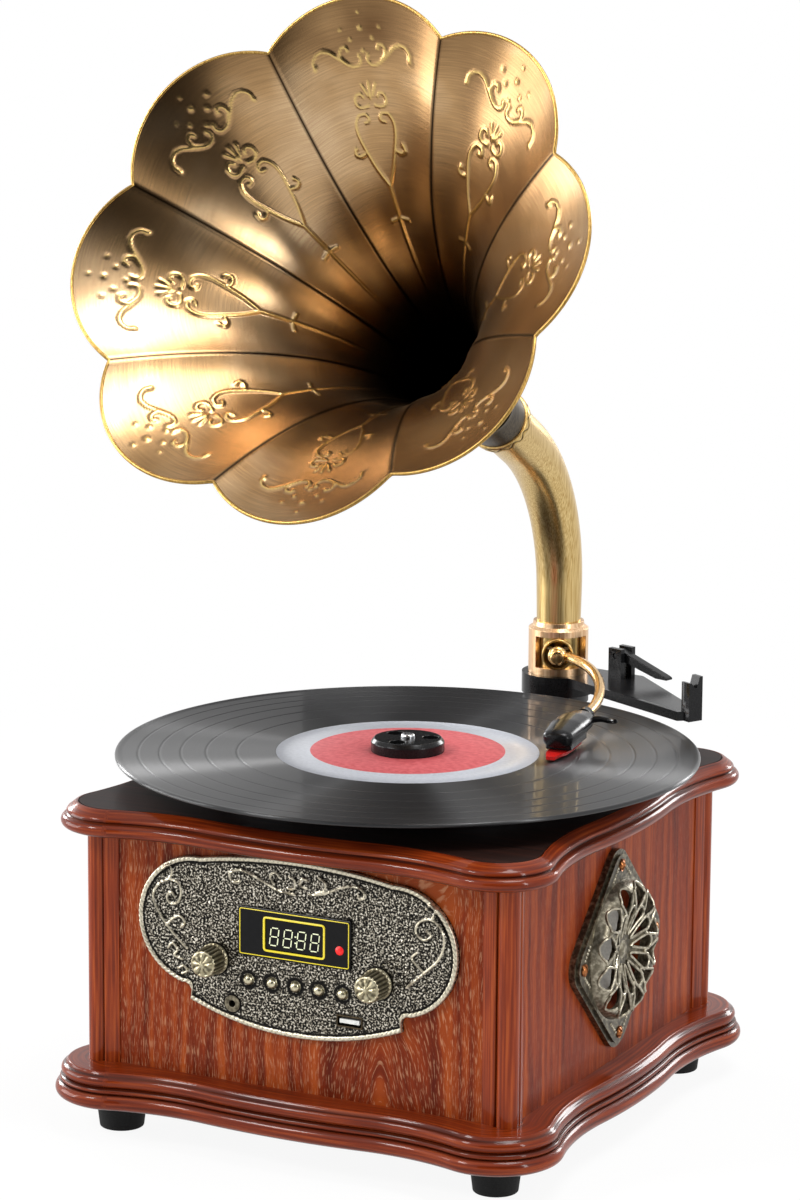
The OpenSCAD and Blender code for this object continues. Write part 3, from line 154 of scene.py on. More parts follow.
def piece(name, points, faces, material, body, replaces=(), uv=None, shade=None, crease=40):
    """A mesh from points in millimetres, riding on a body, with its run of grain and its tone."""
    mesh = raw_mesh(name, points, faces)
    if uv is not None:
        layer = mesh.uv_layers.new(name="run")
        order = np.empty(len(mesh.loops), int)
        mesh.loops.foreach_get("vertex_index", order)
        layer.data.foreach_set("uv", (np.asarray(uv, float)[order] * MM).ravel())
    if shade is not None:
        values = mesh.attributes.new("shade", "FLOAT", "POINT")
        values.data.foreach_set("value", np.asarray(shade, float).ravel())
    closed_up(mesh)
    return finished(name, mesh, material, body, replaces, crease)


def finished(name, mesh, material, body, replaces=(), crease=40):
    """Puts a mesh in the scene with its finish, on its body and in place of its nodes."""
    mesh.materials.clear()
    for finish in material if isinstance(material, list) else [material]:
        mesh.materials.append(finish)
    mesh.shade_smooth()
    mesh.set_sharp_from_angle(angle=math.radians(crease))
    obj = bpy.data.objects.new(name, mesh)
    bpy.context.scene.collection.objects.link(obj)
    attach(obj, body)
    if replaces:
        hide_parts(*replaces)
    return obj


def softened(node, edge, material, segments=2, crease=30):
    """A copy of a node's solid with its sharp edges rounded over, in place of the node."""
    flat, kept_sharp = math.radians(0.5), crease + 15
    bm = bmesh.new()
    bm.from_mesh(frame["nodes"][node].data)
    bmesh.ops.remove_doubles(bm, verts=bm.verts, dist=NODE_WELD)
    bmesh.ops.dissolve_limit(bm, angle_limit=flat, verts=bm.verts, edges=bm.edges)
    inner = [e for e in bm.edges if len(e.link_faces) == 2]
    sharp = [e for e in inner if e.calc_face_angle() > math.radians(crease)]
    bmesh.ops.bevel(bm, geom=sharp, offset=edge * MM, segments=segments, profile=0.5,
                    affect="EDGES", clamp_overlap=True)
    mesh = bpy.data.meshes.new(node + "_soft")
    bm.to_mesh(mesh)
    bm.free()
    obj = finished(node + "_finish", mesh, material, BODY_OF[node], (node,), kept_sharp)
    weighted = obj.modifiers.new("even_shading", "WEIGHTED_NORMAL")
    weighted.keep_sharp = True
    return obj


def grid_faces(rows, columns, loop_rows=False, loop_columns=True, first=0):
    """Quads between rows of points."""
    faces = []
    for i in range(rows if loop_rows else rows - 1):
        low, high = first + i * columns, first + (i + 1) % rows * columns
        for j in range(columns if loop_columns else columns - 1):
            k = (j + 1) % columns
            faces.append((low + j, low + k, high + k, high + j))
    return faces


def arc(centre, radius, start, end, steps):
    """Points of a round stretch, angles in degrees."""
    a = np.radians(np.linspace(start, end, steps + 1))
    return np.stack([centre[0] + radius * np.cos(a), centre[1] + radius * np.sin(a)], 1)


def all_round(steps):
    """Evenly spaced angles all the way round."""
    return np.linspace(0, 2 * math.pi, steps, endpoint=False)


def run_of(line):
    """Distance along a line at each of its points."""
    return np.concatenate([[0], np.cumsum(np.linalg.norm(np.diff(line, axis=0), axis=1))])


def lathe(profile, steps=96):
    """Points and faces of a profile of (radius, height) turned about Z, closed at its ends."""
    profile = np.asarray(profile, float)
    a = all_round(steps)
    rings = np.stack([profile[:, :1] * np.cos(a), profile[:, :1] * np.sin(a),
                      np.repeat(profile[:, 1:], steps, 1)], 2)
    faces = grid_faces(len(profile), steps)
    for row in (0, len(profile) - 1):
        if profile[row, 0] > 0.01:
            faces.append(tuple(range(row * steps, (row + 1) * steps)))
    return rings.reshape(-1, 3), faces


def hoop(profile, steps=96):
    """Points and faces of a closed profile of (radius, height) turned about Z, open in the middle."""
    points = lathe(profile, steps)[0]
    return points, grid_faces(len(profile), steps, loop_rows=True)


def tube(path, radius, sides=16, loop=False):
    """Points and faces of a round bar along a path, with its frame carried along without twist."""
    askew = (0.123, 0.456, 0.88)  # no path here starts out along it
    path = np.asarray(path, float)
    n = len(path)
    radius = np.broadcast_to(np.asarray(radius, float), (n,))
    ahead = np.roll(path, -1, 0) - np.roll(path, 1, 0)
    if not loop:
        ahead[0], ahead[-1] = path[1] - path[0], path[-1] - path[-2]
    ahead /= np.linalg.norm(ahead, axis=1)[:, None]
    side = np.cross(ahead[0], askew)
    points = []
    a = all_round(sides)[:, None]
    for i in range(n):
        side = side - ahead[i] * side.dot(ahead[i])
        side /= np.linalg.norm(side)
        points.append(path[i] + radius[i] * (np.cos(a) * side + np.sin(a) * np.cross(ahead[i], side)))
    faces = grid_faces(n, sides, loop_rows=loop)
    if not loop:
        faces += [tuple(range(sides)), tuple(range((n - 1) * sides, n * sides))]
    return np.concatenate(points), faces


def block(low, high):
    """Points and faces of a box between two corners."""
    x, y, z = zip(low, high)
    points = np.array([(a, b, c) for a in x for b in y for c in z])
    return points, [(0, 1, 3, 2), (4, 6, 7, 5), (0, 4, 5, 1), (2, 3, 7, 6), (0, 2, 6, 4), (1, 5, 7, 3)]


def pierced(obj, cutters):
    """Cuts closed solids, in millimetres, out of a piece."""
    mesh = raw_mesh("cutter", *joined(cutters))
    closed_up(mesh)
    cutter = bpy.data.objects.new("cutter", mesh)
    bpy.context.scene.collection.objects.link(cutter)
    cut = obj.modifiers.new("cut", "BOOLEAN")
    cut.object, cut.operation, cut.solver = cutter, "DIFFERENCE", "EXACT"
    bpy.context.view_layer.update()
    whole = obj.evaluated_get(bpy.context.evaluated_depsgraph_get())
    obj.data = bpy.data.meshes.new_from_object(whole)
    obj.modifiers.clear()
    bpy.data.objects.remove(cutter)


def joined(parts):
    """One set of points and faces from several."""
    points, faces, first = [], [], 0
    for some_points, some_faces in parts:
        points.append(np.asarray(some_points, float).reshape(-1, 3))
        faces += [tuple(v + first for v in face) for face in some_faces]
        first += len(points[-1])
    return np.concatenate(points), faces


def curve_through(points, steps=8):
    """Smooth curve through a few points."""
    p = np.asarray(points, float)
    p = np.concatenate([[2 * p[0] - p[1]], p, [2 * p[-1] - p[-2]]])
    out = []
    for a, b, c, d in zip(p[:-3], p[1:-2], p[2:-1], p[3:]):
        for t in np.linspace(0, 1, steps, endpoint=False):
            out.append(0.5 * (2 * b + (c - a) * t + (2 * a - 5 * b + 4 * c - d) * t ** 2
                              + (3 * b - a - 3 * c + d) * t ** 3))
    return np.array(out + [p[-2]])


def away_from(points, line):
    """Distance of each point in a plane from a polyline."""
    best = np.full(len(points), 1e9)
    for a, b in zip(line[:-1], line[1:]):
        along = np.clip((points - a) @ (b - a) / max((b - a) @ (b - a), 1e-9), 0, 1)
        best = np.minimum(best, np.linalg.norm(points - a - along[:, None] * (b - a), axis=1))
    return best


def ridge(distance, half_width):
    """Height from 0 to 1 of a rounded ridge at a distance from its middle."""
    return np.cos(np.clip(distance / half_width, 0, 1) * math.pi / 2) ** 1.5


# Material helpers

def colour(hex_value):
    """Linear colour from an sRGB hex value."""
    parts = [int(hex_value[i:i + 2], 16) / 255 for i in (1, 3, 5)]
    return tuple(c / 12.92 if c <= 0.04045 else ((c + 0.055) / 1.055) ** 2.4 for c in parts) + (1.0,)


def plug(tree, node, inputs):
    """Sets values on a node's inputs, or links other nodes to them."""
    for key, value in inputs.items():
        if isinstance(value, bpy.types.Node):
            value = value.outputs[0]
        if isinstance(value, bpy.types.NodeSocket):
            tree.links.new(value, node.inputs[key])
        else:
            node.inputs[key].default_value = value


def add(tree, kind, settings=None, inputs=None):
    """Adds a node with its settings, and values or links for its inputs."""
    node = tree.nodes.new("ShaderNode" + kind)
    for key, value in (settings or {}).items():
        if key == "stops":
            ramp = node.color_ramp
            while len(ramp.elements) < len(value):
                ramp.elements.new(1.0)
            for element, (place, shade) in zip(ramp.elements, value):
                element.position, element.color = place, colour(shade)
        else:
            setattr(node, key, value)
    plug(tree, node, inputs or {})
    return node


def material(name, **values):
    """A new material, its node tree and its shader with plain values set on its own sockets."""
    finish = bpy.data.materials.new(name)
    finish.use_nodes = True
    shader = finish.node_tree.nodes["Principled BSDF"]
    for key, value in values.items():
        socket = shader.inputs[key.replace("_", " ").title().replace("Ior", "IOR")]
        socket.default_value = colour(value) if isinstance(value, str) else value
    return finish, finish.node_tree, shader


def per(*sizes):
    """Scale of a pattern from its real size in millimetres, along each axis."""
    return tuple(1 / (size * MM) for size in sizes)


# Materials

def stained_veneer(name, pore_share, figure_rise):
    """Open-pored ash veneer, stained red-brown and lacquered: upright grain with pale pores, and where the
    figure rises a pointed cathedral low on the right of the front."""
    figure_at, figure_round, figure_in, figure_out = 46 - PANEL_Y, 5, 12, 40
    sway_size, sway_by = 45, 7
    band_size, pore_size, pore_depth = (5, 1, 90), (0.5, 1, 6.5), 0.15
    finish, tree, shader = material(name, roughness=0.42, specular_ior_level=0.08, coat_weight=0.06,
                                    coat_roughness=0.1)
    here = add(tree, "TexCoord").outputs["Object"]
    x, y, z = add(tree, "SeparateXYZ", inputs={0: here}).outputs
    across = add(tree, "Math", {"operation": "ADD"}, {0: x, 1: y})
    from_figure = add(tree, "Math", {"operation": "SUBTRACT"},
                      {0: across, 1: (figure_at * MM + float(ORIGIN[1]))})
    pair = add(tree, "CombineXYZ", inputs={0: from_figure, 1: figure_round * MM})
    ring = add(tree, "VectorMath", {"operation": "LENGTH"}, {0: pair}).outputs["Value"]
    peak = add(tree, "MapRange", inputs={"Value": ring, "From Min": figure_in * MM,
                                         "From Max": figure_out * MM,
                                         "To Min": figure_rise, "To Max": 0.0})
    risen = add(tree, "Math", {"operation": "MULTIPLY_ADD"}, {0: z, 1: peak, 2: ring})
    sway = add(tree, "TexNoise", inputs={"Vector": here, "Scale": per(sway_size)[0], "Detail": 2})
    bent = add(tree, "Math", {"operation": "MULTIPLY_ADD"},
               {0: sway.outputs["Fac"], 1: sway_by * MM, 2: risen})
    grain = add(tree, "CombineXYZ", inputs={0: bent, 1: 0.0, 2: z})
    broad = add(tree, "Mapping", inputs={"Vector": grain, "Scale": per(*band_size)})
    bands = add(tree, "TexNoise", inputs={"Vector": broad, "Scale": 1, "Detail": 5})
    tone = add(tree, "ValToRGB", {"stops": [(0.3, "#501506"), (0.48, "#7B2C0D"), (0.7, "#A24A1B")]},
               {"Fac": bands})
    fine = add(tree, "Mapping", inputs={"Vector": grain, "Scale": per(*pore_size)})
    streaks = add(tree, "TexNoise", inputs={"Vector": fine, "Scale": 1, "Detail": 3})
    pores = add(tree, "ValToRGB", {"stops": [(0.54, "#000000"), (0.63, "#FFFFFF")]}, {"Fac": streaks})
    faint = add(tree, "Math", {"operation": "MULTIPLY"}, {0: pores, 1: pore_share})
    shown = add(tree, "MixRGB", inputs={"Fac": faint, "Color1": tone, "Color2": colour("#D2A079")})
    bump = add(tree, "Bump", inputs={"Strength": 0.2, "Distance": pore_depth * MM, "Height": pores})
    plug(tree, shader, {"Base Color": shown, "Normal": bump})
    return finish


def polished_mahogany(name, dark, middle, light):
    """Turned and moulded hardwood, stained mahogany under high-gloss lacquer: fine grain along the run,
    and painted shade darkening the quirks."""
    grain_size, grain_depth = (55, 1.6, 1), 0.1
    finish, tree, shader = material(name, roughness=0.32, specular_ior_level=0.08, coat_weight=0.32,
                                    coat_roughness=0.04)
    run = add(tree, "UVMap", {"uv_map": "run"})
    along = add(tree, "Mapping", inputs={"Vector": run, "Scale": per(*grain_size)})
    grain = add(tree, "TexNoise", inputs={"Vector": along, "Scale": 1, "Detail": 5})
    tone = add(tree, "ValToRGB", {"stops": [(0.25, dark), (0.5, middle), (0.78, light)]}, {"Fac": grain})
    # painted shade: each piece's tone darkens its quirks
    darkening = add(tree, "Attribute", {"attribute_name": "shade"}).outputs["Fac"]
    shown = add(tree, "MixRGB", inputs={"Fac": darkening, "Color1": tone, "Color2": colour("#240A05")})
    bump = add(tree, "Bump", inputs={"Strength": 0.06, "Distance": grain_depth * MM, "Height": grain})
    plug(tree, shader, {"Base Color": shown, "Normal": bump})
    return finish


def ebonised_deck():
    """Deck board stained nearly black under semi-gloss lacquer: grain just shows from side to side."""
    grain_size, grain_depth = (90, 2.4, 20), 0.1
    finish, tree, shader = material("ebonised_deck", roughness=0.5, specular_ior_level=0.1, coat_weight=0.04,
                                    coat_roughness=0.1)
    here = add(tree, "TexCoord").outputs["Object"]
    along = add(tree, "Mapping", inputs={"Vector": here, "Scale": per(*grain_size)})
    grain = add(tree, "TexNoise", inputs={"Vector": along, "Scale": 1, "Detail": 5})
    tone = add(tree, "ValToRGB", {"stops": [(0.3, "#0D0706"), (0.6, "#24120D"), (0.8, "#3E2018")]},
               {"Fac": grain})
    bump = add(tree, "Bump", inputs={"Strength": 0.1, "Distance": grain_depth * MM, "Height": grain})
    plug(tree, shader, {"Base Color": tone, "Normal": bump})
    return finish


def hammered_bronze():
    """Cast bronze with a stippled ground, blackened and rubbed back: a salt-and-pepper ground, its grains
    ivory on top and black in the pits as blackening with painted highlight and shade, ivory-bright scrolls,
    and painted shade where a piece's tone marks it."""
    stipple_size, stipple_depth = 1.05, 0.3
    finish, tree, shader = material("hammered_bronze", metallic=0.8, roughness=0.3)
    here = add(tree, "TexCoord").outputs["Object"]
    stipple = add(tree, "TexNoise", inputs={"Vector": here, "Scale": per(stipple_size)[0],
                                            "Detail": 1.5, "Roughness": 0.55})
    # painted highlight and shade on the stipple: the grains' colour follows their bump, ivory up and black
    # down
    pepper_to_salt = [(0.43, "#0C0B0A"), (0.51, "#3C372F"), (0.58, "#A69F8F"), (0.68, "#E8E2D5")]
    ground = add(tree, "ValToRGB", {"stops": pepper_to_salt}, {"Fac": stipple})
    piece_tone = add(tree, "Attribute", {"attribute_name": "shade"}).outputs["Fac"]
    # bright end: the rubbed scrolls and the cord's painted highlight; dark end: painted shade
    bright = add(tree, "MapRange", inputs={"Value": piece_tone, "From Min": 0.1, "From Max": 0.7})
    darkened = add(tree, "MapRange", inputs={"Value": piece_tone, "From Min": -0.05, "From Max": -0.6})
    rubbed = add(tree, "MixRGB", inputs={"Fac": bright, "Color1": ground, "Color2": colour("#D6CDB6")})
    shown = add(tree, "MixRGB", inputs={"Fac": darkened, "Color1": rubbed, "Color2": colour("#0C0A08")})
    bump = add(tree, "Bump", inputs={"Strength": 0.6, "Distance": stipple_depth * MM, "Height": stipple})
    plug(tree, shader, {"Base Color": shown, "Normal": bump})
    return finish


def rubbed_bronze(name, dark, middle, light):
    """Bronze blackened and rubbed bright on its edges: pale on the high spots and dark in the hollows by
    curvature, as rubbing with painted highlight and shade, and blackened where a piece's tone marks it.
    """
    patch_size, patch_depth, edge_wear_and_light, evened = 2.2, 0.1, 2.4, 0.45
    finish, tree, shader = material(name, metallic=0.85, roughness=0.32)
    here = add(tree, "TexCoord").outputs["Object"]
    patches = add(tree, "TexNoise", inputs={"Vector": here, "Scale": per(patch_size)[0], "Detail": 4})
    # pointiness: edges pale and hollows dark, as rubbing together with painted highlight and shade
    pointiness = add(tree, "NewGeometry").outputs["Pointiness"]
    both = add(tree, "Math", {"operation": "MULTIPLY_ADD"}, {0: pointiness, 1: edge_wear_and_light, 2: patches})
    wear_and_light = add(tree, "Math", {"operation": "MULTIPLY"}, {0: both, 1: evened})
    tone = add(tree, "ValToRGB", {"stops": [(0.5, dark), (0.75, middle), (0.95, light)]}, {"Fac": wear_and_light})
    darkening = add(tree, "Attribute", {"attribute_name": "shade"}).outputs["Fac"]
    shown = add(tree, "MixRGB", inputs={"Fac": darkening, "Color1": tone, "Color2": colour("#0D0B08")})
    bump = add(tree, "Bump", inputs={"Strength": 0.15, "Distance": patch_depth * MM, "Height": patches})
    plug(tree, shader, {"Base Color": shown, "Normal": bump})
    return finish


def antique_brass():
    """Spun sheet brass, antiqued brown and brushed round the bell: gold where the relief was rubbed, dark
    along the seams, and painted shade darkening it nearly to black down the throat."""
    cloud_size, brush_size, brush_depth = 75, (22, 0.7, 1), 0.1
    browned_to, throat_from, throat_to = 0.03, 0.1, 0.2  # metres down from the tip of a petal
    finish, tree, shader = material("antique_brass_sheet", metallic=1.0, roughness=0.27, anisotropic=0.3)
    run = add(tree, "UVMap", {"uv_map": "run"})
    depth = add(tree, "SeparateXYZ", inputs={0: run}).outputs["Y"]
    here = add(tree, "TexCoord").outputs["Object"]
    clouds = add(tree, "TexNoise", inputs={"Vector": here, "Scale": per(cloud_size)[0], "Detail": 3})
    tone = add(tree, "ValToRGB", {"stops": [(0.3, "#75573A"), (0.5, "#AF8C62"), (0.72, "#DBBE98")]},
               {"Fac": clouds})
    round_bell = add(tree, "Mapping", inputs={"Vector": run, "Scale": per(*brush_size)})
    brushing = add(tree, "TexNoise", inputs={"Vector": round_bell, "Scale": 1, "Detail": 4})
    streaked = add(tree, "MixRGB", {"blend_type": "OVERLAY"},
                   {"Fac": 0.4, "Color1": tone, "Color2": brushing.outputs["Fac"]})
    edge = add(tree, "MapRange", inputs={"Value": depth, "From Min": browned_to, "From Max": 0.0,
                                         "To Max": 0.5})
    browned = add(tree, "MixRGB", inputs={"Fac": edge, "Color1": streaked, "Color2": colour("#4A3014")})
    piece_tone = add(tree, "Attribute", {"attribute_name": "shade"}).outputs["Fac"]
    bright = add(tree, "MapRange", inputs={"Value": piece_tone, "From Min": 0.05, "From Max": 1.1})
    darkened = add(tree, "MapRange", inputs={"Value": piece_tone, "From Min": -0.03, "From Max": -0.8})
    rubbed = add(tree, "MixRGB", inputs={"Fac": bright, "Color1": browned, "Color2": colour("#D9B974")})
    seamed = add(tree, "MixRGB", inputs={"Fac": darkened, "Color1": rubbed, "Color2": colour("#1E1208")})
    # painted shade down the throat, nearly black deep inside
    throat = add(tree, "MapRange", inputs={"Value": depth, "From Min": throat_from, "From Max": throat_to})
    shown = add(tree, "MixRGB", inputs={"Fac": throat, "Color1": seamed, "Color2": colour("#0E0805")})
    bump = add(tree, "Bump", inputs={"Strength": 0.12, "Distance": brush_depth * MM, "Height": brushing})
    plug(tree, shader, {"Base Color": shown, "Normal": bump})
    return finish


def brushed_metal(name, dark, light, roughness):
    """Plated and lacquered metal with fine brushing, drawn 0.6 mm apart so that it shows: a soft sheen,
    slight clouding, blackening in engraved lines and painted shade where a piece's tone marks it."""
    brush_size, brush_depth = (0.6, 0.6, 30), 0.05
    finish, tree, shader = material(name, metallic=1.0, roughness=roughness)
    here = add(tree, "TexCoord").outputs["Object"]
    along = add(tree, "Mapping", inputs={"Vector": here, "Scale": per(*brush_size)})
    brushing = add(tree, "TexNoise", inputs={"Vector": along, "Scale": 1, "Detail": 4})
    tone = add(tree, "ValToRGB", {"stops": [(0.3, dark), (0.7, light)]}, {"Fac": brushing})
    # a piece's tone: blackening in engraved lines, painted shade inside the elbow
    engraved = add(tree, "Attribute", {"attribute_name": "shade"}).outputs["Fac"]
    shown = add(tree, "MixRGB", inputs={"Fac": engraved, "Color1": tone, "Color2": colour("#1A120A")})
    bump = add(tree, "Bump", inputs={"Strength": 0.06, "Distance": brush_depth * MM, "Height": brushing})
    plug(tree, shader, {"Base Color": shown, "Normal": bump})
    return finish


def moulded(name, dark, light, roughness, grit, depth=0.05, **more):
    """Moulded plastic, rubber, paper or paint: faint mottling and a fine grained skin."""
    finish, tree, shader = material(name, roughness=roughness, **more)
    here = add(tree, "TexCoord").outputs["Object"]
    skin = add(tree, "TexNoise", inputs={"Vector": here, "Scale": per(grit)[0], "Detail": 4})
    tone = add(tree, "ValToRGB", {"stops": [(0.35, dark), (0.65, light)]}, {"Fac": skin})
    bump = add(tree, "Bump", inputs={"Strength": 0.2, "Distance": depth * MM, "Height": skin})
    plug(tree, shader, {"Base Color": tone, "Normal": bump})
    return finish


def pressed_vinyl():
    """Pressed vinyl: grooves too fine to see one by one, drawn about 0.9 mm apart so that they show, which
    spread every highlight into a fan."""
    groove_apart, groove_depth = 0.9, 0.06
    finish, tree, shader = material("pressed_vinyl", roughness=0.36, specular_ior_level=0.5, anisotropic=1.0,
                                    anisotropic_rotation=0.25, coat_weight=0.12, coat_roughness=0.05)
    here = add(tree, "VectorMath", {"operation": "SUBTRACT"},
               {0: add(tree, "TexCoord").outputs["Object"], 1: tuple(ORIGIN)})
    flat = add(tree, "VectorMath", {"operation": "MULTIPLY"}, {0: here, 1: (1, 1, 0)})
    radius = add(tree, "VectorMath", {"operation": "LENGTH"}, {0: flat}).outputs["Value"]
    line = add(tree, "CombineXYZ", inputs={0: radius})
    outwards = add(tree, "Mapping", inputs={"Vector": line, "Scale": per(groove_apart, 1, 1)})
    grooves = add(tree, "TexNoise", inputs={"Vector": outwards, "Scale": 1, "Detail": 3})
    tone = add(tree, "ValToRGB", {"stops": [(0.35, "#070708"), (0.65, "#19191C")]}, {"Fac": grooves})
    bump = add(tree, "Bump", inputs={"Strength": 0.35, "Distance": groove_depth * MM, "Height": grooves})
    round_disc = add(tree, "Tangent", {"direction_type": "RADIAL", "axis": "Z"})
    plug(tree, shader, {"Base Color": tone, "Normal": bump, "Tangent": round_disc})
    return finish


def painted_glow(name, shade):
    """A colour with a painted glow: even and slightly glowing, though nothing behind it gives light."""
    return material(name, base_color=shade, roughness=0.4, emission_color=shade, emission_strength=0.35)[0]


# Wood: the front's pores show pale, the sides' are filled, and gloss runs along the mouldings
VENEER = stained_veneer("stained_ash_veneer", 0.4, 0.2)
SIDE_VENEER = stained_veneer("close_grained_veneer", 0.08, 0.0)
MOULDING = polished_mahogany("polished_mahogany", "#3E1005", "#70260A", "#9C4518")
POST = polished_mahogany("turned_mahogany", "#501605", "#84310E", "#B0541F")
DECK = ebonised_deck()

# Bronze: pale crowns on the knobs, grey wire, and a grille that stays dark but for its edges
BRONZE = hammered_bronze()
KNOB = rubbed_bronze("rubbed_bronze", "#3C3629", "#A1977A", "#DCD5B8")
GUNMETAL = rubbed_bronze("gunmetal_wire", "#2E2A23", "#6E6757", "#CFC7B2")
GRILLE = rubbed_bronze("blackened_bronze", "#1C1914", "#4A4437", "#A89E86")
CAP = brushed_metal("worn_bronze_cap", "#AAA182", "#E4DDC2", 0.28)

# Brass and gilt: a brown worn edge, brighter rings and tubes, a rosy collar and a nearly black ferrule
HORN_BRASS = antique_brass()
EDGE_BRASS = brushed_metal("worn_brass_edge", "#86652F", "#BE9C5C", 0.3)
RIM_BRASS = brushed_metal("rim_brass", "#A8823F", "#DCC084", 0.28)
TUBE_BRASS = brushed_metal("satin_brass_tube", "#A9864A", "#E2C88E", 0.28)
GILT = brushed_metal("gilt_arm", "#B98A4C", "#E9C68C", 0.22)
COPPER = brushed_metal("copper_gilt", "#C2946A", "#F0CFA6", 0.3)
PATINA = brushed_metal("blackened_brass", "#2A231A", "#5A4E3C", 0.4)

# Other metals: bright plating, reddish screws, satin castings and dull black paint on iron
STEEL = brushed_metal("plated_steel", "#A9ABAE", "#D8DADD", 0.25)
COPPER_SCREW = brushed_metal("copper_screw", "#7A4526", "#B8794A", 0.3)
PLATTER = moulded("cast_aluminium", "#5A5B5D", "#7B7C7F", 0.4, 1.5, metallic=0.9)
IRON = moulded("painted_iron", "#1A1A1B", "#2A2A2B", 0.5, 1.2, 0.12)

# Plastics: glossy black and red mouldings, matt nylon and a smoked sheet that shows almost black
BLACK = moulded("black_abs", "#101011", "#1C1C1D", 0.22, 0.8, specular_ior_level=0.2)
RED = moulded("red_polystyrene", "#B31210", "#D42420", 0.3, 1.0)
WHITE = moulded("white_nylon", "#D8D8D4", "#ECECE8", 0.4, 2.0)
GLASS_BLACK = moulded("smoked_acrylic", "#030304", "#08080A", 0.1, 3.0, 0.01, specular_ior_level=0.2)
# painted glow: the yellow print, the digits and the red lens give off a little light of their own
YELLOW = painted_glow("yellow_print", "#D8C42E")
DIGIT = painted_glow("display_digits", "#DDE2BE")
RED_GLOW = painted_glow("red_lens", "#DE1414")

# Record: fans of light on black vinyl, a run-out painted pale as its reflection, and dull red paper
VINYL = pressed_vinyl()
# painted reflection: the smooth run-out's pale grey
RUN_OUT_REFLECTION = moulded("run_out_painted_reflection", "#B2B6BE", "#BEC2CA", 0.3, 2.0, 0.02)
LABEL = moulded("printed_paper_label", "#B8464B", "#CC5E62", 0.6, 3.0)

# Soft and inner pieces: dull rubber and felt, pale matt paper and a green board
RUBBER = moulded("moulded_rubber", "#131313", "#202020", 0.72, 0.6, specular_ior_level=0.2)
FELT = moulded("felt_mat", "#171718", "#2B2B2C", 0.95, 0.5, 0.2)
CONE = moulded("paper_cone", "#C9C6BE", "#DDDAD2", 0.8, 1.5)
BOARD = moulded("epoxy_board", "#12341F", "#1E4A2C", 0.5, 2.0)


# Camera, light and floor

def set_camera():
    """The camera of the photograph."""
    az, el, roll = (math.radians(a) for a in (VIEW_AZIMUTH, VIEW_ELEVATION, VIEW_ROLL))
    back = Vector((math.sin(az) * math.cos(el), -math.cos(az) * math.cos(el), math.sin(el)))
    right = Vector((math.cos(az), math.sin(az), 0))
    up = back.cross(right)
    right, up = right * math.cos(roll) + up * math.sin(roll), up * math.cos(roll) - right * math.sin(roll)
    target = Vector(np.array(VIEW_TARGET) * MM + ORIGIN)
    lens = bpy.data.cameras.new("photo_camera")
    lens.lens, lens.sensor_width, lens.clip_start = VIEW_LENS, VIEW_FILM, VIEW_NEAREST * MM
    camera = bpy.data.objects.new("photo_camera", lens)
    camera.matrix_world = Matrix((right, up, back)).transposed().to_4x4()
    camera.matrix_world.translation = target + back * VIEW_DISTANCE * MM
    bpy.context.scene.collection.objects.link(camera)
    bpy.context.scene.camera = camera


def aimed(obj, place, aim):
    """Stands a lamp or a card at a place, facing a point, both in metres."""
    obj.location = place
    obj.rotation_euler = (Vector(aim) - Vector(place)).to_track_quat("-Z", "Y").to_euler()
    bpy.context.scene.collection.objects.link(obj)


def flat_sheet(name, half_w, half_h, finish):
    """A flat sheet of a half width and half height, in metres."""
    mesh = bpy.data.meshes.new(name)
    corners = [(-half_w, -half_h, 0), (half_w, -half_h, 0), (half_w, half_h, 0), (-half_w, half_h, 0)]
    mesh.from_pydata(corners, [], [(0, 1, 2, 3)])
    mesh.materials.append(finish)
    return bpy.data.objects.new(name, mesh)


def soft_box(name, place, aim, size, power):
    """A studio lamp of a width and height, placed and aimed in metres."""
    lamp = bpy.data.lights.new(name, "AREA")
    lamp.shape, lamp.size, lamp.size_y, lamp.energy = "RECTANGLE", size[0], size[1], power
    obj = bpy.data.objects.new(name, lamp)
    obj.visible_camera = False
    aimed(obj, place, aim)


def dark_card(name, place, aim, size):
    """A dark studio card, which shows in polished surfaces and nowhere else."""
    finish = material("black_card", base_color="#15120F", roughness=0.9, specular_ior_level=0.0)[0]
    card = flat_sheet(name, size[0] / 2, size[1] / 2, finish)
    card.visible_camera = card.visible_diffuse = card.visible_transmission = card.visible_shadow = False
    aimed(card, place, aim)


def seen_rays(tree):
    """1 for the rays of the camera, of reflections and of glass, which see the white background."""
    rays = add(tree, "LightPath")
    seen = add(tree, "Math", {"operation": "MAXIMUM"},
               {0: rays.outputs["Is Camera Ray"], 1: rays.outputs["Is Glossy Ray"]})
    return add(tree, "Math", {"operation": "MAXIMUM"}, {0: seen, 1: rays.outputs["Is Transmission Ray"]})


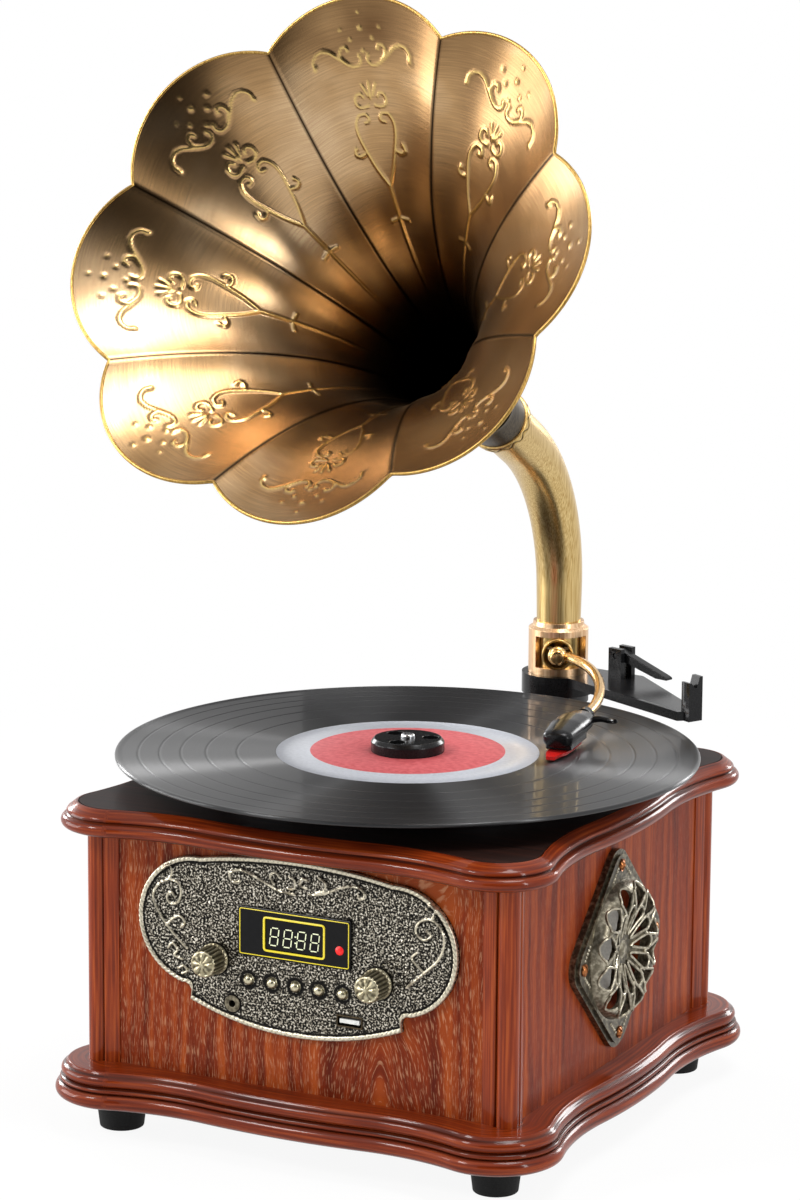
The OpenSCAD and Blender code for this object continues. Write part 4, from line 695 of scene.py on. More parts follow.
def set_light():
    """Seven lamps and two dark cards round the object, a dim even fill and a white background."""
    fill_colour, fill_strength = (0.95, 0.96, 1.0, 1), 0.36
    soft_box("key_box", (-1.3, -1.7, 1.9), (0, 0, 0.3), (0.6, 0.6), 30)
    soft_box("left_strip", (-1.9, -1.2, 0.8), (0, 0, 0.2), (0.2, 1.2), 7)
    soft_box("right_strip", (2.1, -0.6, 0.9), (0, 0, 0.2), (0.25, 1.3), 15)
    soft_box("overhead_box", (0.6, -0.1, 2.2), (0, 0, 0.3), (0.85, 0.85), 28)
    soft_box("left_wing", (-1.3, -0.4, 0.32), (0, -0.1, 0.5), (0.8, 0.6), 9)
    soft_box("rear_right_box", (0.5, 1.9, 0.75), (0, 0, 0.2), (0.5, 0.5), 12)
    soft_box("rear_left_box", (-1.8, 0.9, 0.75), (0, 0, 0.2), (0.5, 0.5), 14)
    dark_card("front_card", (1.8, -2.8, 1.5), (0, 0, 1.2), (5.0, 2.7))
    dark_card("back_card", (-0.73, 1.43, 0.75), (0, 0, 0.75), (0.2, 1.4))
    world = bpy.data.worlds.new("studio")
    bpy.context.scene.world = world
    world.use_nodes = True
    tree = world.node_tree
    fill = add(tree, "Background", inputs={"Color": fill_colour, "Strength": fill_strength})
    white = add(tree, "Background", inputs={"Color": (1, 1, 1, 1), "Strength": 1.0})
    mix = add(tree, "MixShader", inputs={0: seen_rays(tree), 1: fill, 2: white})
    plug(tree, tree.nodes["World Output"], {"Surface": mix})


def set_floor():
    """Pale seamless paper: white to the eye, with a soft shadow under the object that fades out round it."""
    half, shadow_from, shadow_to, least_white = 40, 0.2, 0.9, 0.92
    finish, tree, shader = material("white_paper", base_color="#F4F4F2", roughness=0.8,
                                    specular_ior_level=0.1)
    here = add(tree, "TexCoord").outputs["Object"]
    away = add(tree, "VectorMath", {"operation": "LENGTH"}, {0: here}).outputs["Value"]
    clean = add(tree, "MapRange", inputs={"Value": away, "From Min": shadow_from, "From Max": shadow_to,
                                          "To Min": least_white, "To Max": 1.0})
    share = add(tree, "Math", {"operation": "MULTIPLY"}, {0: seen_rays(tree), 1: clean})
    white = add(tree, "Emission", inputs={"Color": (1, 1, 1, 1), "Strength": 1.0})
    mix = add(tree, "MixShader", inputs={0: share, 1: shader, 2: white})
    plug(tree, tree.nodes["Material Output"], {"Surface": mix})
    floor = flat_sheet("floor", half, half, finish)
    bpy.context.scene.collection.objects.link(floor)


set_camera()
set_light()
set_floor()
bpy.context.scene.view_settings.view_transform = "Standard"


# Cabinet

def outline_stations(spacing=2.2):
    """Places along the serpentine outline: centre, radius, sign of an offset and angle of each."""
    def hollow(length):
        """Angle that the hollow beside a lobe turns through, and its radius."""
        angle = 2 * math.atan(NECK_DEPTH / (length - NECK_AT))
        return angle, (length - NECK_AT) / math.sin(angle) - LOBE_R

    bow_angle = 2 * math.atan(BOW / NECK_AT)
    stations = []
    for s in range(4):
        length, base = (LOBE_X, LOBE_Y) if s % 2 == 0 else (LOBE_Y, LOBE_X)
        angle, neck_rad = hollow(length)
        next_angle = hollow(LOBE_Y if s % 2 == 0 else LOBE_X)[0]
        neck_out = (LOBE_R + neck_rad) * math.cos(angle)
        bow_rad = NECK_AT / math.sin(bow_angle) - neck_rad
        bow_out = neck_out - (neck_rad + bow_rad) * math.cos(bow_angle)
        quarter = math.pi / 2
        arcs = [((-NECK_AT, -base - neck_out), neck_rad, -1, quarter + angle, quarter - bow_angle),
                ((0, -base - bow_out), bow_rad, 1, -quarter - bow_angle, -quarter + bow_angle),
                ((NECK_AT, -base - neck_out), neck_rad, -1, quarter + bow_angle, quarter - angle),
                ((length, -base), LOBE_R, 1, -quarter - angle, next_angle)]
        turn = s * quarter
        for centre, radius, sign, start, end in arcs:
            steps = max(4, round(abs(end - start) * radius / spacing))
            middle = (centre[0] * math.cos(turn) - centre[1] * math.sin(turn),
                      centre[0] * math.sin(turn) + centre[1] * math.cos(turn))
            for i in range(steps):
                stations.append((middle, radius, sign, turn + start + (end - start) * i / steps))
    return stations


STATIONS = outline_stations()
QUIRK_CREASE = 34


def serpentine(name, profile, dark, material):
    """A moulding swept round the outline: profile of (offset, height), with painted shade in the quirks."""
    profile = np.asarray(profile, float)
    rows = []
    for (cx, cy), radius, sign, angle in STATIONS:
        r = radius + sign * profile[:, 0]
        rows.append(np.stack([cx + r * math.cos(angle), cy + r * math.sin(angle), profile[:, 1]], 1))
    rows = np.array(rows)
    middle = rows[:, len(profile) // 2]
    uv = np.stack(np.meshgrid(run_of(middle), run_of(profile), indexing="ij"), 2).reshape(-1, 2)
    # painted shade in the quirks, along the whole run
    darkening = np.tile(dark(profile), len(rows))
    faces = grid_faces(len(rows), len(profile), loop_rows=True)
    return piece(name + "_finish", rows.reshape(-1, 3), faces, material, "cabinet", (name,), uv, darkening,
                 QUIRK_CREASE)


def quirk_shade(heights, spread):
    """Painted shade near the heights of a moulding's quirks."""
    darkest = 0.85

    def darkening(profile):
        """How dark each point of a profile is."""
        return darkest * np.max([np.exp(-((profile[:, 1] - h) / spread) ** 2) for h in heights], 0)

    return darkening


def add_mouldings():
    """The base and top mouldings, with their rolls, beads and quirks."""
    seat, edge = -22, 0.9
    height = BASE_TOP - BASE_LOW
    roll, ovolo, bead = height * 0.22, height * 0.165, height * 0.07
    bead_z = BASE_LOW + 2 * roll + bead
    base = np.concatenate([
        [(seat, BASE_TOP), (-0.4, BASE_TOP)], arc((-0.2, BASE_TOP - edge), edge, 80, 10, 4),
        arc((BASE_ROLL * 0.55 - ovolo, bead_z + bead + ovolo), ovolo, 66, -62, 14),
        arc((BASE_ROLL * 0.66 - bead, bead_z), bead, 60, -50, 8),
        arc((BASE_ROLL - roll, BASE_LOW + roll), roll, 80, -62, 18),
        [(BASE_ROLL - roll * 0.75, BASE_LOW), (seat, BASE_LOW)]])
    quirks = (bead_z + bead, bead_z - bead, BASE_LOW, BASE_TOP - 2 * edge)
    serpentine("base_moulding", base, quirk_shade(quirks, 0.75), MOULDING)
    nose, lip, cove = (DECK_TOP - BODY_TOP) * 0.26, 0.3, 2.6
    step = BODY_TOP + 2.15 * nose
    top = np.concatenate([
        [(seat, DECK_LOW), (-DECK_INSET, DECK_LOW)],
        [(-DECK_INSET, DECK_TOP - lip), (-DECK_INSET + lip, DECK_TOP), (-DECK_INSET + 1.6, DECK_TOP - 0.4)],
        arc((TOP_NOSE - nose - 2, BODY_TOP + 2.3 * nose), cove, 62, 4, 6), [(TOP_NOSE - nose + 0.1, step)],
        arc((TOP_NOSE - nose, BODY_TOP + nose), nose, 78, -62, 14),
        [(TOP_NOSE - nose * 0.8, BODY_TOP), (seat, BODY_TOP)]])
    serpentine("top_moulding", top, quirk_shade((step, BODY_TOP), 0.8), MOULDING)


def add_posts():
    """Corner posts: a three-quarter bead between two fillets, with quirks beside it."""
    proud, width, bead_r, fillet, quirk_in, quirk_deep = 4, 18.4, 5.6, 0.9, 0.5, 1.6
    darkest, spread = 0.9, 0.9
    grain_shift_x, grain_shift_y = 40, 25  # so that no two posts show the same grain
    bead = np.array((PANEL_X + proud - bead_r, -PANEL_Y - proud + bead_r))
    inner = np.array((PANEL_X + proud - width, -PANEL_Y - proud + width))
    face, lip, edge = proud * 0.7, proud * 0.15, bead_r * 0.88
    front = np.concatenate([
        [(inner[0], -PANEL_Y - lip)],
        arc((bead[0] - edge - fillet, -PANEL_Y - face + fillet), fillet, -96, 0, 4)])
    quirk = [(bead[0] - edge + quirk_in, -PANEL_Y - face + quirk_deep)]
    near = np.concatenate([front, quirk, arc(bead, bead_r, -147, -45, 12)])
    far = np.stack([bead[0] - (near[:, 1] - bead[1]), bead[1] - (near[:, 0] - bead[0])], 1)
    outline = np.concatenate([near, far[::-1][1:], [inner]])
    girth = run_of(outline)
    quirks = (near[len(front)], far[len(front)])
    at_quirk = np.min([np.linalg.norm(outline - q, axis=1) for q in quirks], 0)
    # painted shade along the quirks beside the bead
    darkening = darkest * np.exp(-(at_quirk / spread) ** 2)
    heights = np.linspace(BASE_TOP, BODY_TOP, 5)
    n, layers = len(outline), len(heights)
    faces = grid_faces(layers, n) + [tuple(range(n)), tuple(range((layers - 1) * n, layers * n))]
    for name, sx, sy in (("post_front_right", 1, 1), ("post_front_left", -1, 1),
                         ("post_rear_right", 1, -1), ("post_rear_left", -1, -1)):
        points = np.concatenate([np.column_stack([outline * (sx, sy), np.full(n, z)]) for z in heights])
        along = np.repeat(heights + grain_shift_x * sx, n)
        uv = np.column_stack([along, np.tile(girth + grain_shift_y * sy, layers)])
        piece(name + "_finish", points, faces, POST, "cabinet", (name,), uv,
              np.tile(darkening, layers), QUIRK_CREASE)


def dress(finish, *names):
    """Gives carried-over nodes their finish."""
    for name in names:
        slots = frame["nodes"][name].data.materials
        slots.clear()
        slots.append(finish)


def add_cabinet():
    """Mouldings, posts, panels, deck, feet and the fittings at the back."""
    add_mouldings()
    add_posts()
    dress(VENEER, "front_panel")
    dress(SIDE_VENEER, "right_panel", "left_panel", "rear_panel")
    dress(DECK, "top_deck", "base_board")
    for corner in ("front_left", "front_right", "rear_left", "rear_right"):
        softened("foot_" + corner, 0.8, RUBBER, 3)
    softened("power_inlet", 0.4, BLACK)
    softened("rear_bracket", 1.2, IRON, 3)


def screw(head_r, head_h, slot_w, length, shank_r):
    """A round-headed slotted screw along Z: the head starts at z = 0 and the shank runs down."""
    dome_r, rim_h, slot_floor, slot_depth = head_r * 0.9, head_h * 0.3, head_h * 0.45, head_h * 0.4
    profile = np.concatenate([
        arc((0, -dome_r + head_h), dome_r, 90, 25, 6), [(head_r, rim_h), (head_r, 0)],
        [(shank_r, 0), (shank_r, -length), (0, -length)]])
    points, faces = lathe(profile, 48)
    in_slot = (np.abs(points[:, 1]) < slot_w / 2) & (points[:, 2] > slot_floor)
    points[in_slot, 2] -= slot_depth
    return points, faces


def add_screws():
    """Slotted coppery screws of the grilles and the bracket, their slots turned this way and that."""
    head_r, head_h, slot_w, shank_r = 3.2, 1.8, 0.8, 1.8
    grille_reach, grille_t, grille_shank = 44, 5, 12
    bracket_t, bracket_up, bracket_x, bracket_z, bracket_shank = 8, 34, 16, 26, 14
    parts = []
    for side in (1, -1):
        for i in range(4):
            points, faces = screw(head_r, head_h, slot_w, grille_shank, shank_r)
            seat, stop = grille_reach * turned(90 * i) + grille_t * UP, 35 * i + 20
            turn = axes(seat, turned(stop), turned(stop + 90), UP)
            parts.append((moved(points, grille_axes(side) @ turn), faces))
    middle = (0, PANEL_Y + bracket_t, box_mm("rear_bracket")[0][2] + bracket_up)
    back = axes(middle, (-1, 0, 0), (0, 0, 1), (0, 1, 0))
    for sx in (-1, 1):
        for sz in (-1, 1):
            points, faces = screw(head_r, head_h, slot_w, bracket_shank, shank_r)
            stop = 30 + 50 * sx
            turn = axes((bracket_x * sx, bracket_z * sz, 0), turned(stop), turned(stop + 90), UP)
            parts.append((moved(points, back @ turn), faces))
    points, faces = joined(parts)
    piece("wood_screws_finish", points, faces, COPPER_SCREW, "cabinet", ("wood_screws",))


add_cabinet()
add_screws()


# Control plate

PLATE_T = 2.4
END_X, END_Z, END_R = 56, 117.5, 33.7
CROWN_TOP, CROWN_R, BELLY_LOW, BELLY_R, WAIST_X = 156, 305, 65, 158, 62
NICK_X, NICK_Z, NICK_R = 63.5, 80.5, 4.5
BUTTONS = [f"button_{i}" for i in range(1, 6)]
ROUND_FITTINGS = ["volume_knob", "tuning_knob", "aux_jack"] + BUTTONS
PLATE_SCROLLS = [
    [(-75, 142.5), (-71.5, 145), (-70, 141.5), (-72, 137.8), (-78, 134.2), (-81, 127), (-76.7, 118.5),
     (-69.4, 110), (-61.5, 103)],
    [(-72, 137.8), (-66.5, 136.5), (-64.8, 132), (-66.5, 126.5), (-71, 125.2), (-73, 128.5), (-70.5, 131.2),
     (-68.5, 129)],
    [(-73.5, 113.5), (-69.5, 117.5), (-65.6, 119.3), (-62.7, 116.4), (-65, 113.5)],
    [(-72.4, 101.8), (-70, 104.8), (-67, 101.5), (-68.7, 98.6), (-64.2, 97)],
    [(-66.5, 92), (-63.5, 93.7), (-61.3, 91.4), (-64.3, 89.6)],
    [(-31, 142), (-35, 141), (-37, 144.9), (-32.7, 147.5), (-26.9, 146.9), (-18.2, 143.5), (-9.5, 140),
     (0, 139)],
    [(-12, 143), (-14, 146.5), (-11, 149), (-8.5, 146.5)],
    [(-3, 147.5), (0, 146), (-0.5, 142), (-4, 141.8)],
    [(7, 143), (3, 144), (4, 147.5), (7.5, 147)],
    [(13, 149.5), (17, 146.8), (16, 142.8), (12, 141.6)],
    [(8, 140), (16.2, 141.5), (26, 146), (33.2, 147.4), (38, 145.7), (38.8, 142.6), (36, 141.5), (35, 144)],
    [(62, 100), (71.3, 108.5), (79.5, 116.6), (82.5, 124.7), (81, 132.2), (75.2, 136.3), (69, 134.3),
     (67, 129), (71.2, 125.6), (75.3, 128), (73, 130.5)],
    [(72.4, 141.3), (75.2, 143.6), (78, 141.4), (76, 137.2)],
    [(71, 109.5), (67, 113), (65, 115.7), (67.8, 118.7)]]


def inside_plate(x, z):
    """True inside the plate's outline: two round ends, a bowed middle and two nicks."""
    end = (np.abs(x) - END_X) ** 2 + (z - END_Z) ** 2 < END_R ** 2
    crown = x ** 2 + (z - CROWN_TOP + CROWN_R) ** 2 < CROWN_R ** 2
    belly = x ** 2 + (z - BELLY_LOW - BELLY_R) ** 2 < BELLY_R ** 2
    nick = (np.abs(x) - NICK_X) ** 2 + (z - NICK_Z) ** 2 < NICK_R ** 2
    return (end | (crown & belly & (np.abs(x) < WAIST_X))) & ~nick


def plate_rays():
    """Places on the plate's spine and the rim point that each looks at, all the way round."""
    spine, level, fan, row = 48, 112, 190, 90
    longest, marks, halvings = 60, 241, 16
    across = np.linspace(-spine, spine, row, endpoint=False)
    a = np.linspace(math.pi / 2, -math.pi / 2, fan, endpoint=False)
    straight, end = np.column_stack([across, np.full(row, level)]), np.tile((spine, level), (fan, 1))
    starts = np.concatenate([straight, end])
    aims = np.concatenate([np.tile((0.0, 1.0), (row, 1)), np.column_stack([np.cos(a), np.sin(a)])])
    starts = np.concatenate([starts, starts * (-1, 1)]).astype(float)
    aims = np.concatenate([aims, -aims])
    near, far = np.zeros((2, len(starts)))
    reach = np.linspace(0, longest, marks)
    for i in range(len(starts)):
        along = starts[i] + reach[:, None] * aims[i]
        first_out = np.argmin(inside_plate(along[:, 0], along[:, 1]))
        near[i], far[i] = reach[first_out - 1], reach[first_out]
    for _ in range(halvings):
        middle = (near + far) / 2
        at = starts + middle[:, None] * aims
        ok = inside_plate(at[:, 0], at[:, 1])
        near, far = np.where(ok, middle, near), np.where(ok, far, middle)
    return starts, starts + near[:, None] * aims


def pebble(points, size):
    """Smooth noise at points in a plane, about 0 in the middle."""
    layer = 3.7
    return np.array([noise.noise(Vector((x / size, z / size, layer))) for x, z in points])


def on_plate(node):
    """Middle and half size of a fitting, seen from the front."""
    low, high = box_mm(node)
    return (low + high)[[0, 2]] / 2, (high - low)[[0, 2]] / 2


def facing(x, z, out):
    """Frame of a fitting on the front, z out of the cabinet."""
    return FRONT @ axes((x, z, out), (1, 0, 0), (0, 1, 0), UP)


def plate_holes():
    """Solids that leave room in the plate for the jack, the buttons and the port."""
    jack_r, button_r, port_ease, behind, ahead = 3.5, 3.2, 0.1, -2, 6
    cutters = []
    for node, radius in [("aux_jack", jack_r)] + [(name, button_r) for name in BUTTONS]:
        hole, faces = lathe([(0, behind), (radius, behind), (radius, ahead), (0, ahead)], 40)
        cutters.append((moved(hole, facing(*on_plate(node)[0], 0)), faces))
    port, half = on_plate("usb_port")
    hole, faces = block((*(port - half - port_ease), behind), (*(port + half + port_ease), ahead))
    return cutters + [(moved(hole, FRONT), faces)]


def add_plate():
    """Stippled plate with raised scrolls and a twisted cord along its rim, open for what passes through."""
    border, cord_half, cord_twist, cord_lean = 3.2, 1.3, 2.3, 2.2
    scroll_half, hollow_half, scroll_h, hollow_h = 1.2, 2.5, 1.5, 0.25
    pebble_size, ground_from, groove_at, groove_half, dark_half = 1.3, 2.7, 3.0, 0.6, 1.4
    starts, rim = plate_rays()
    n = len(rim)
    reach = np.linalg.norm(rim - starts, axis=1)[:, None]
    shortest = reach.min() - border
    insets = np.concatenate([np.linspace(0, border, 12), border + np.linspace(0, 1, 50)[1:] * shortest])
    inner = (insets - border) / shortest
    share = np.where(insets <= border, insets / reach, border / reach + inner * (1 - border / reach))
    flat = rim[None] + (starts - rim)[None] * share.T[:, :, None]
    rings = len(insets)
    spots = flat.reshape(-1, 2)
    inset = np.repeat(insets, n)
    twist = np.sin(np.tile(run_of(rim), rings) * cord_twist + inset * cord_lean)
    cord = np.sqrt(np.clip(1 - ((inset - cord_half) / cord_half) ** 2, 0, 1)) * (0.9 + 0.22 * twist)
    beside = np.min([away_from(spots, curve_through(line)) for line in PLATE_SCROLLS], 0)
    scroll, hollow = ridge(beside, scroll_half), ridge(beside, hollow_half)
    sunk = np.clip(hollow - scroll, 0, 1)
    fittings = [on_plate(node) for node in ROUND_FITTINGS]
    clear = np.min([np.linalg.norm(spots - middle, axis=1) - half[0] for middle, half in fittings], 0)
    port, port_half = on_plate("usb_port")
    clear = np.minimum(clear, np.linalg.norm(np.maximum(np.abs(spots - port) - port_half, 0), axis=1))
    stipple = np.clip(pebble(spots, pebble_size) * 0.7, -0.3, 0.35) * (inset > ground_from)
    stipple = stipple * (1 - hollow) * np.clip(clear / 2, 0, 1)
    height = PLATE_T + cord + scroll_h * scroll - hollow_h * sunk + stipple
    # painted shade along a line just inside the cord
    groove_shade = np.exp(-((inset - groove_at) / groove_half) ** 2)
    # tone: painted highlight and shade along the cord's twist, scrolls rubbed bright, painted shade in the
    # hollows
    tone = np.where(inset < 2 * cord_half, 0.6 + 0.25 * twist, 0.9 * scroll - 0.75 * sunk - 0.8 * groove_shade)
    # painted shade on the ground round each fitting
    tone = tone - 0.9 * np.clip(1 - clear / dark_half, 0, 1)
    points = np.concatenate([np.column_stack([spots, height]), np.column_stack([rim, np.zeros(n)])])
    first = rings * n
    faces = grid_faces(rings, n)
    faces += [(j, (j + 1) % n, first + (j + 1) % n, first + j) for j in range(n)]
    faces.append(tuple(first + j for j in range(n)))
    # the rim's outer edge down to the panel takes painted shade
    plate = piece("control_plate_finish", moved(points, FRONT), faces, BRONZE, "cabinet",
                  ("control_plate",), None, np.concatenate([tone, np.full(n, -0.6)]), 60)
    pierced(plate, plate_holes())


def printed_frame(middle, half_x, half_z, corner, width, level):
    """Points and faces of a thin printed frame with round corners."""
    line = np.concatenate([
        arc((middle[0] + sx * (half_x - corner), middle[1] + sz * (half_z - corner)), corner, a, a + 90, 6)
        for sx, sz, a in ((1, 1, 0), (-1, 1, 90), (-1, -1, 180), (1, -1, 270))])
    return tube(np.column_stack([line, np.full(len(line), level)]), width / 2, 8, True)


def clock_digits(middle, level):
    """Points and faces of four leaning digits with all their bars, and the two dots between them."""
    digit_w, digit_h, bar, lean, bar_gap = 4.4, 9.0, 0.6, 0.06, 0.55
    first, apart, low = 14.2, 7.6, 5.6
    dot_x, dot_low, dot_apart, dot_half, dot_r = 0.55, 1.1, 1.6, 0.3, 0.5
    bars = []
    strokes = [((0, 0), (1, 0)), ((0, 1), (1, 1)), ((0, 2), (1, 2)),
               ((0, 0), (0, 1)), ((0, 1), (0, 2)), ((1, 0), (1, 1)), ((1, 1), (1, 2))]
    for i in range(4):
        left = middle[0] - first + apart * i
        for stroke in strokes:
            a, b = (np.array((left + x * digit_w + z * digit_h * lean, middle[1] - low + z * digit_h / 2))
                    for x, z in stroke)
            gap = (b - a) / np.linalg.norm(b - a) * bar_gap
            bars.append(tube(np.column_stack([[a + gap, b - gap], [level, level]]), bar / 2, 6))
    for dz in (-dot_apart, dot_apart):
        x, z = middle[0] + dot_x, middle[1] - dot_low + dz
        bars.append(tube([(x, z - dot_half, level), (x, z + dot_half, level)], dot_r, 6))
    return joined(bars)


def add_display():
    """Smoked bezel with a yellow printed border, the clock display and the red receiver lens."""
    middle, half = on_plate("display_bezel")
    top, level = (-box_mm(node)[0][1] - PANEL_Y for node in ("display_bezel", "display_window"))
    outer_inset, lens_x, lens_z, lens_ball, lens_up = 1.2, 25.5, -3, 3.2, 1.0
    softened("display_bezel", 0.7, GLASS_BLACK, 3)
    softened("display_window", 0.3, GLASS_BLACK)
    outer = printed_frame(middle, half[0] - outer_inset, half[1] - outer_inset, 0.8, 0.5, top)
    points, faces = joined([outer, printed_frame(middle, 16.9, 8.5, 1.4, 1.1, top)])
    piece("display_border", moved(points, FRONT), faces, YELLOW, "cabinet")
    points, faces = clock_digits(middle, level)
    piece("display_digits", moved(points, FRONT), faces, DIGIT, "cabinet")
    lens = np.concatenate([arc((0, lens_up - lens_ball), lens_ball, 90, 42, 6), [(2.4, -0.8)]])
    points, faces = lathe(lens, 32)
    place = facing(middle[0] + lens_x, middle[1] + lens_z, top)
    piece("receiver_lens", moved(points, place), faces, RED_GLOW, "cabinet")


def add_knobs():
    """Fluted knobs with a carved front, sooty in the flutes."""
    flutes, flute_depth, petals, petal_h, steps, lift = 20, 0.75, 8, 0.35, 160, PLATE_T + 0.3
    a = all_round(steps)
    wave = (0.5 + 0.5 * np.cos(flutes * a)) ** 0.7
    # height, radius and share of the flutes' depth, from the back to the front
    rows = [(0, 6, 0), (0, 8, 0), (0.9, 8, 0), (1.3, 7.6, 0.2), (1.9, 7.5, 1), (10.6, 7.2, 1),
            (11.4, 7, 0.5), (11.9, 6.6, 0), (12.3, 6, 0), (12.1, 5.3, 0), (12.4, 4.4, 0), (12.9, 3.2, 0),
            (12.6, 2.4, 0), (13.2, 1.2, 0), (13.4, 0, 0)]
    rings, darkening = [], []
    for z, r, depth in rows:
        petal = np.cos(petals * a) * (2 < r < 5.8)
        fluted = r - flute_depth * depth * wave
        rings.append(np.column_stack([fluted * np.cos(a), fluted * np.sin(a), z + petal_h * petal]))
        darkening.append(0.8 * depth * wave + 0.6 * np.clip(-petal, 0, 1))
    faces = grid_faces(len(rows), steps) + [tuple(range(steps))]
    for name in ("volume_knob", "tuning_knob"):
        points = moved(np.concatenate(rings), facing(*on_plate(name)[0], lift))
        piece(name + "_finish", points, faces, KNOB, BODY_OF[name], (name,), None,
              np.concatenate(darkening), 50)


def add_buttons():
    """Domed push buttons with a small collar."""
    dome_r, collar_r, foot, back = 2.8, 3.05, PLATE_T - 0.2, -1
    profile = np.concatenate([
        arc((0, foot), dome_r, 90, 5, 8), [(collar_r, foot), (collar_r, back), (0, back)]])
    points, faces = lathe(profile, 40)
    for name in BUTTONS:
        place = facing(*on_plate(name)[0], 0)
        piece(name + "_finish", moved(points, place), faces, CAP, BODY_OF[name], (name,))


def add_sockets():
    """Aux jack with a bronze lip and the USB port with its white tongue."""
    softened("aux_jack", 0.25, GRILLE)
    softened("usb_port", 0.25, PATINA)
    half_w, below, above, back, front = 5.5, 0.9, 1.2, -8, PLATE_T + 0.3
    x, z = on_plate("usb_port")[0]
    points, faces = block((x - half_w, z - below, back), (x + half_w, z + above, front))
    piece("usb_tongue", moved(points, FRONT), faces, WHITE, "cabinet")


add_plate()
add_display()
add_knobs()
add_buttons()
add_sockets()


# Speaker grilles

GRILLE_T, ROSETTE_R, PRESSED_R, WALL_R = 5, 37, 36, 28


def rosette_out(r):
    """Height of the rosette above its panel: a raised crest round a sunken hub."""
    at = (0, 8, 14, 20, 24, 27, 30, 32.5, 34.5, PRESSED_R)
    return np.interp(r, at, (6, 6.9, 8.6, 10.8, 11.7, 12, 11.8, 10.8, 8.6, 5))


def solid_dome(r):
    """Height of the plain dome that the solid rosette is."""
    rise = 14
    ball = (ROSETTE_R ** 2 + rise ** 2) / (2 * rise)
    return GRILLE_T - 1 + rise - ball + np.sqrt(ball ** 2 - np.minimum(r, ROSETTE_R) ** 2)


def dish(obj, side):
    """Presses the softened rosette of a grille into its crest and hub, its outer wall paler as a painted
    sheen.
    """
    longest_edge, wall_from = 2.2, GRILLE_T - 0.5
    place = np.linalg.inv(grille_axes(side))
    bm = bmesh.new()
    bm.from_mesh(obj.data)
    bmesh.ops.triangulate(bm, faces=bm.faces)
    for _ in range(3):
        wide = [e for e in bm.edges if e.calc_length() > longest_edge * MM]
        bmesh.ops.subdivide_edges(bm, edges=wide, cuts=1)
        bmesh.ops.triangulate(bm, faces=bm.faces)
    at = moved((np.array([v.co for v in bm.verts]) - ORIGIN) / MM, place)
    r = np.hypot(at[:, 0], at[:, 1])
    shift = np.where(r < PRESSED_R, rosette_out(r) - solid_dome(r), 0)
    for vert, move in zip(bm.verts, shift):
        vert.co.x += side * move * MM
    bm.to_mesh(obj.data)
    bm.free()
    # painted sheen: the rosette's outer wall takes the paler wire bronze
    obj.data.materials.append(GUNMETAL)
    for polygon in obj.data.polygons:
        x, y, z = moved((np.array(polygon.center) - ORIGIN) / MM, place)[0]
        if WALL_R < math.hypot(x, y) < ROSETTE_R and z > wall_from:
            polygon.material_index = 1


def grille_wires():
    """Raised wires round every opening of the rosette, its hub and the bead row of the diamond frame."""
    count, wire_r, wire_up, wire_out, foot_half = 12, 0.75, 0.15, 0.35, 0.7
    hub_ball, hub_up, hub_r = 8.6, 2, 5.4
    bead_reach, bead_r, bead_sunk, beads, bead_clear = 47.5, 0.95, 0.3, 32, 1.4
    step = math.pi / count
    middle = ROSETTE_R * 0.62
    tiers = ((ROSETTE_R * 0.24, middle, middle * math.sin(step) * 0.62, 0),
             (ROSETTE_R * 0.52, ROSETTE_R * 0.93, ROSETTE_R * math.sin(step) * 0.66, 1))
    parts = []
    for start, end, half, shift in tiers:
        tip = arc((end - half, 0), half + wire_out, -80, 80, 12)
        loop = np.concatenate([[(start, -foot_half)], tip, [(start, foot_half)]])
        loop = curve_through(np.concatenate([loop, loop[:1]]), 2)[:-1]
        for i in range(count):
            turn = (2 * i + shift) * step
            x = loop[:, 0] * math.cos(turn) - loop[:, 1] * math.sin(turn)
            y = loop[:, 0] * math.sin(turn) + loop[:, 1] * math.cos(turn)
            wire = np.column_stack([x, y, rosette_out(np.hypot(x, y)) + wire_up])
            parts.append(tube(wire, wire_r, 8, True))
    top = rosette_out(0)
    hub = np.concatenate([arc((0, top + hub_up - hub_ball), hub_ball, 90, 55, 5), [(hub_r, top - 1)]])
    parts.append(lathe(hub, 40))
    bead, bead_faces = lathe(arc((0, GRILLE_T - bead_sunk), bead_r, 90, 0, 4), 10)
    for corner in range(4):
        a, b = turned(90 * corner) * bead_reach, turned(90 * corner + 90) * bead_reach
        for i in range(3, beads - 2):
            spot = a + (b - a) * i / beads
            if np.linalg.norm(spot) > ROSETTE_R + bead_clear:
                parts.append((bead + spot * (1, 1, 0), bead_faces))
    return joined(parts)


def add_grilles():
    """Diamond grilles with their pressed rosettes and raised wires, and the speakers behind them."""
    points, faces = grille_wires()
    for side, hand in ((1, "right"), (-1, "left")):
        dish(softened(hand + "_grille", 0.35, GRILLE), side)
        piece(hand + "_grille_wires", moved(points, grille_axes(side)), faces, GUNMETAL, "cabinet")
        softened(hand + "_speaker", 0.4, CONE)


add_grilles()


# Turntable

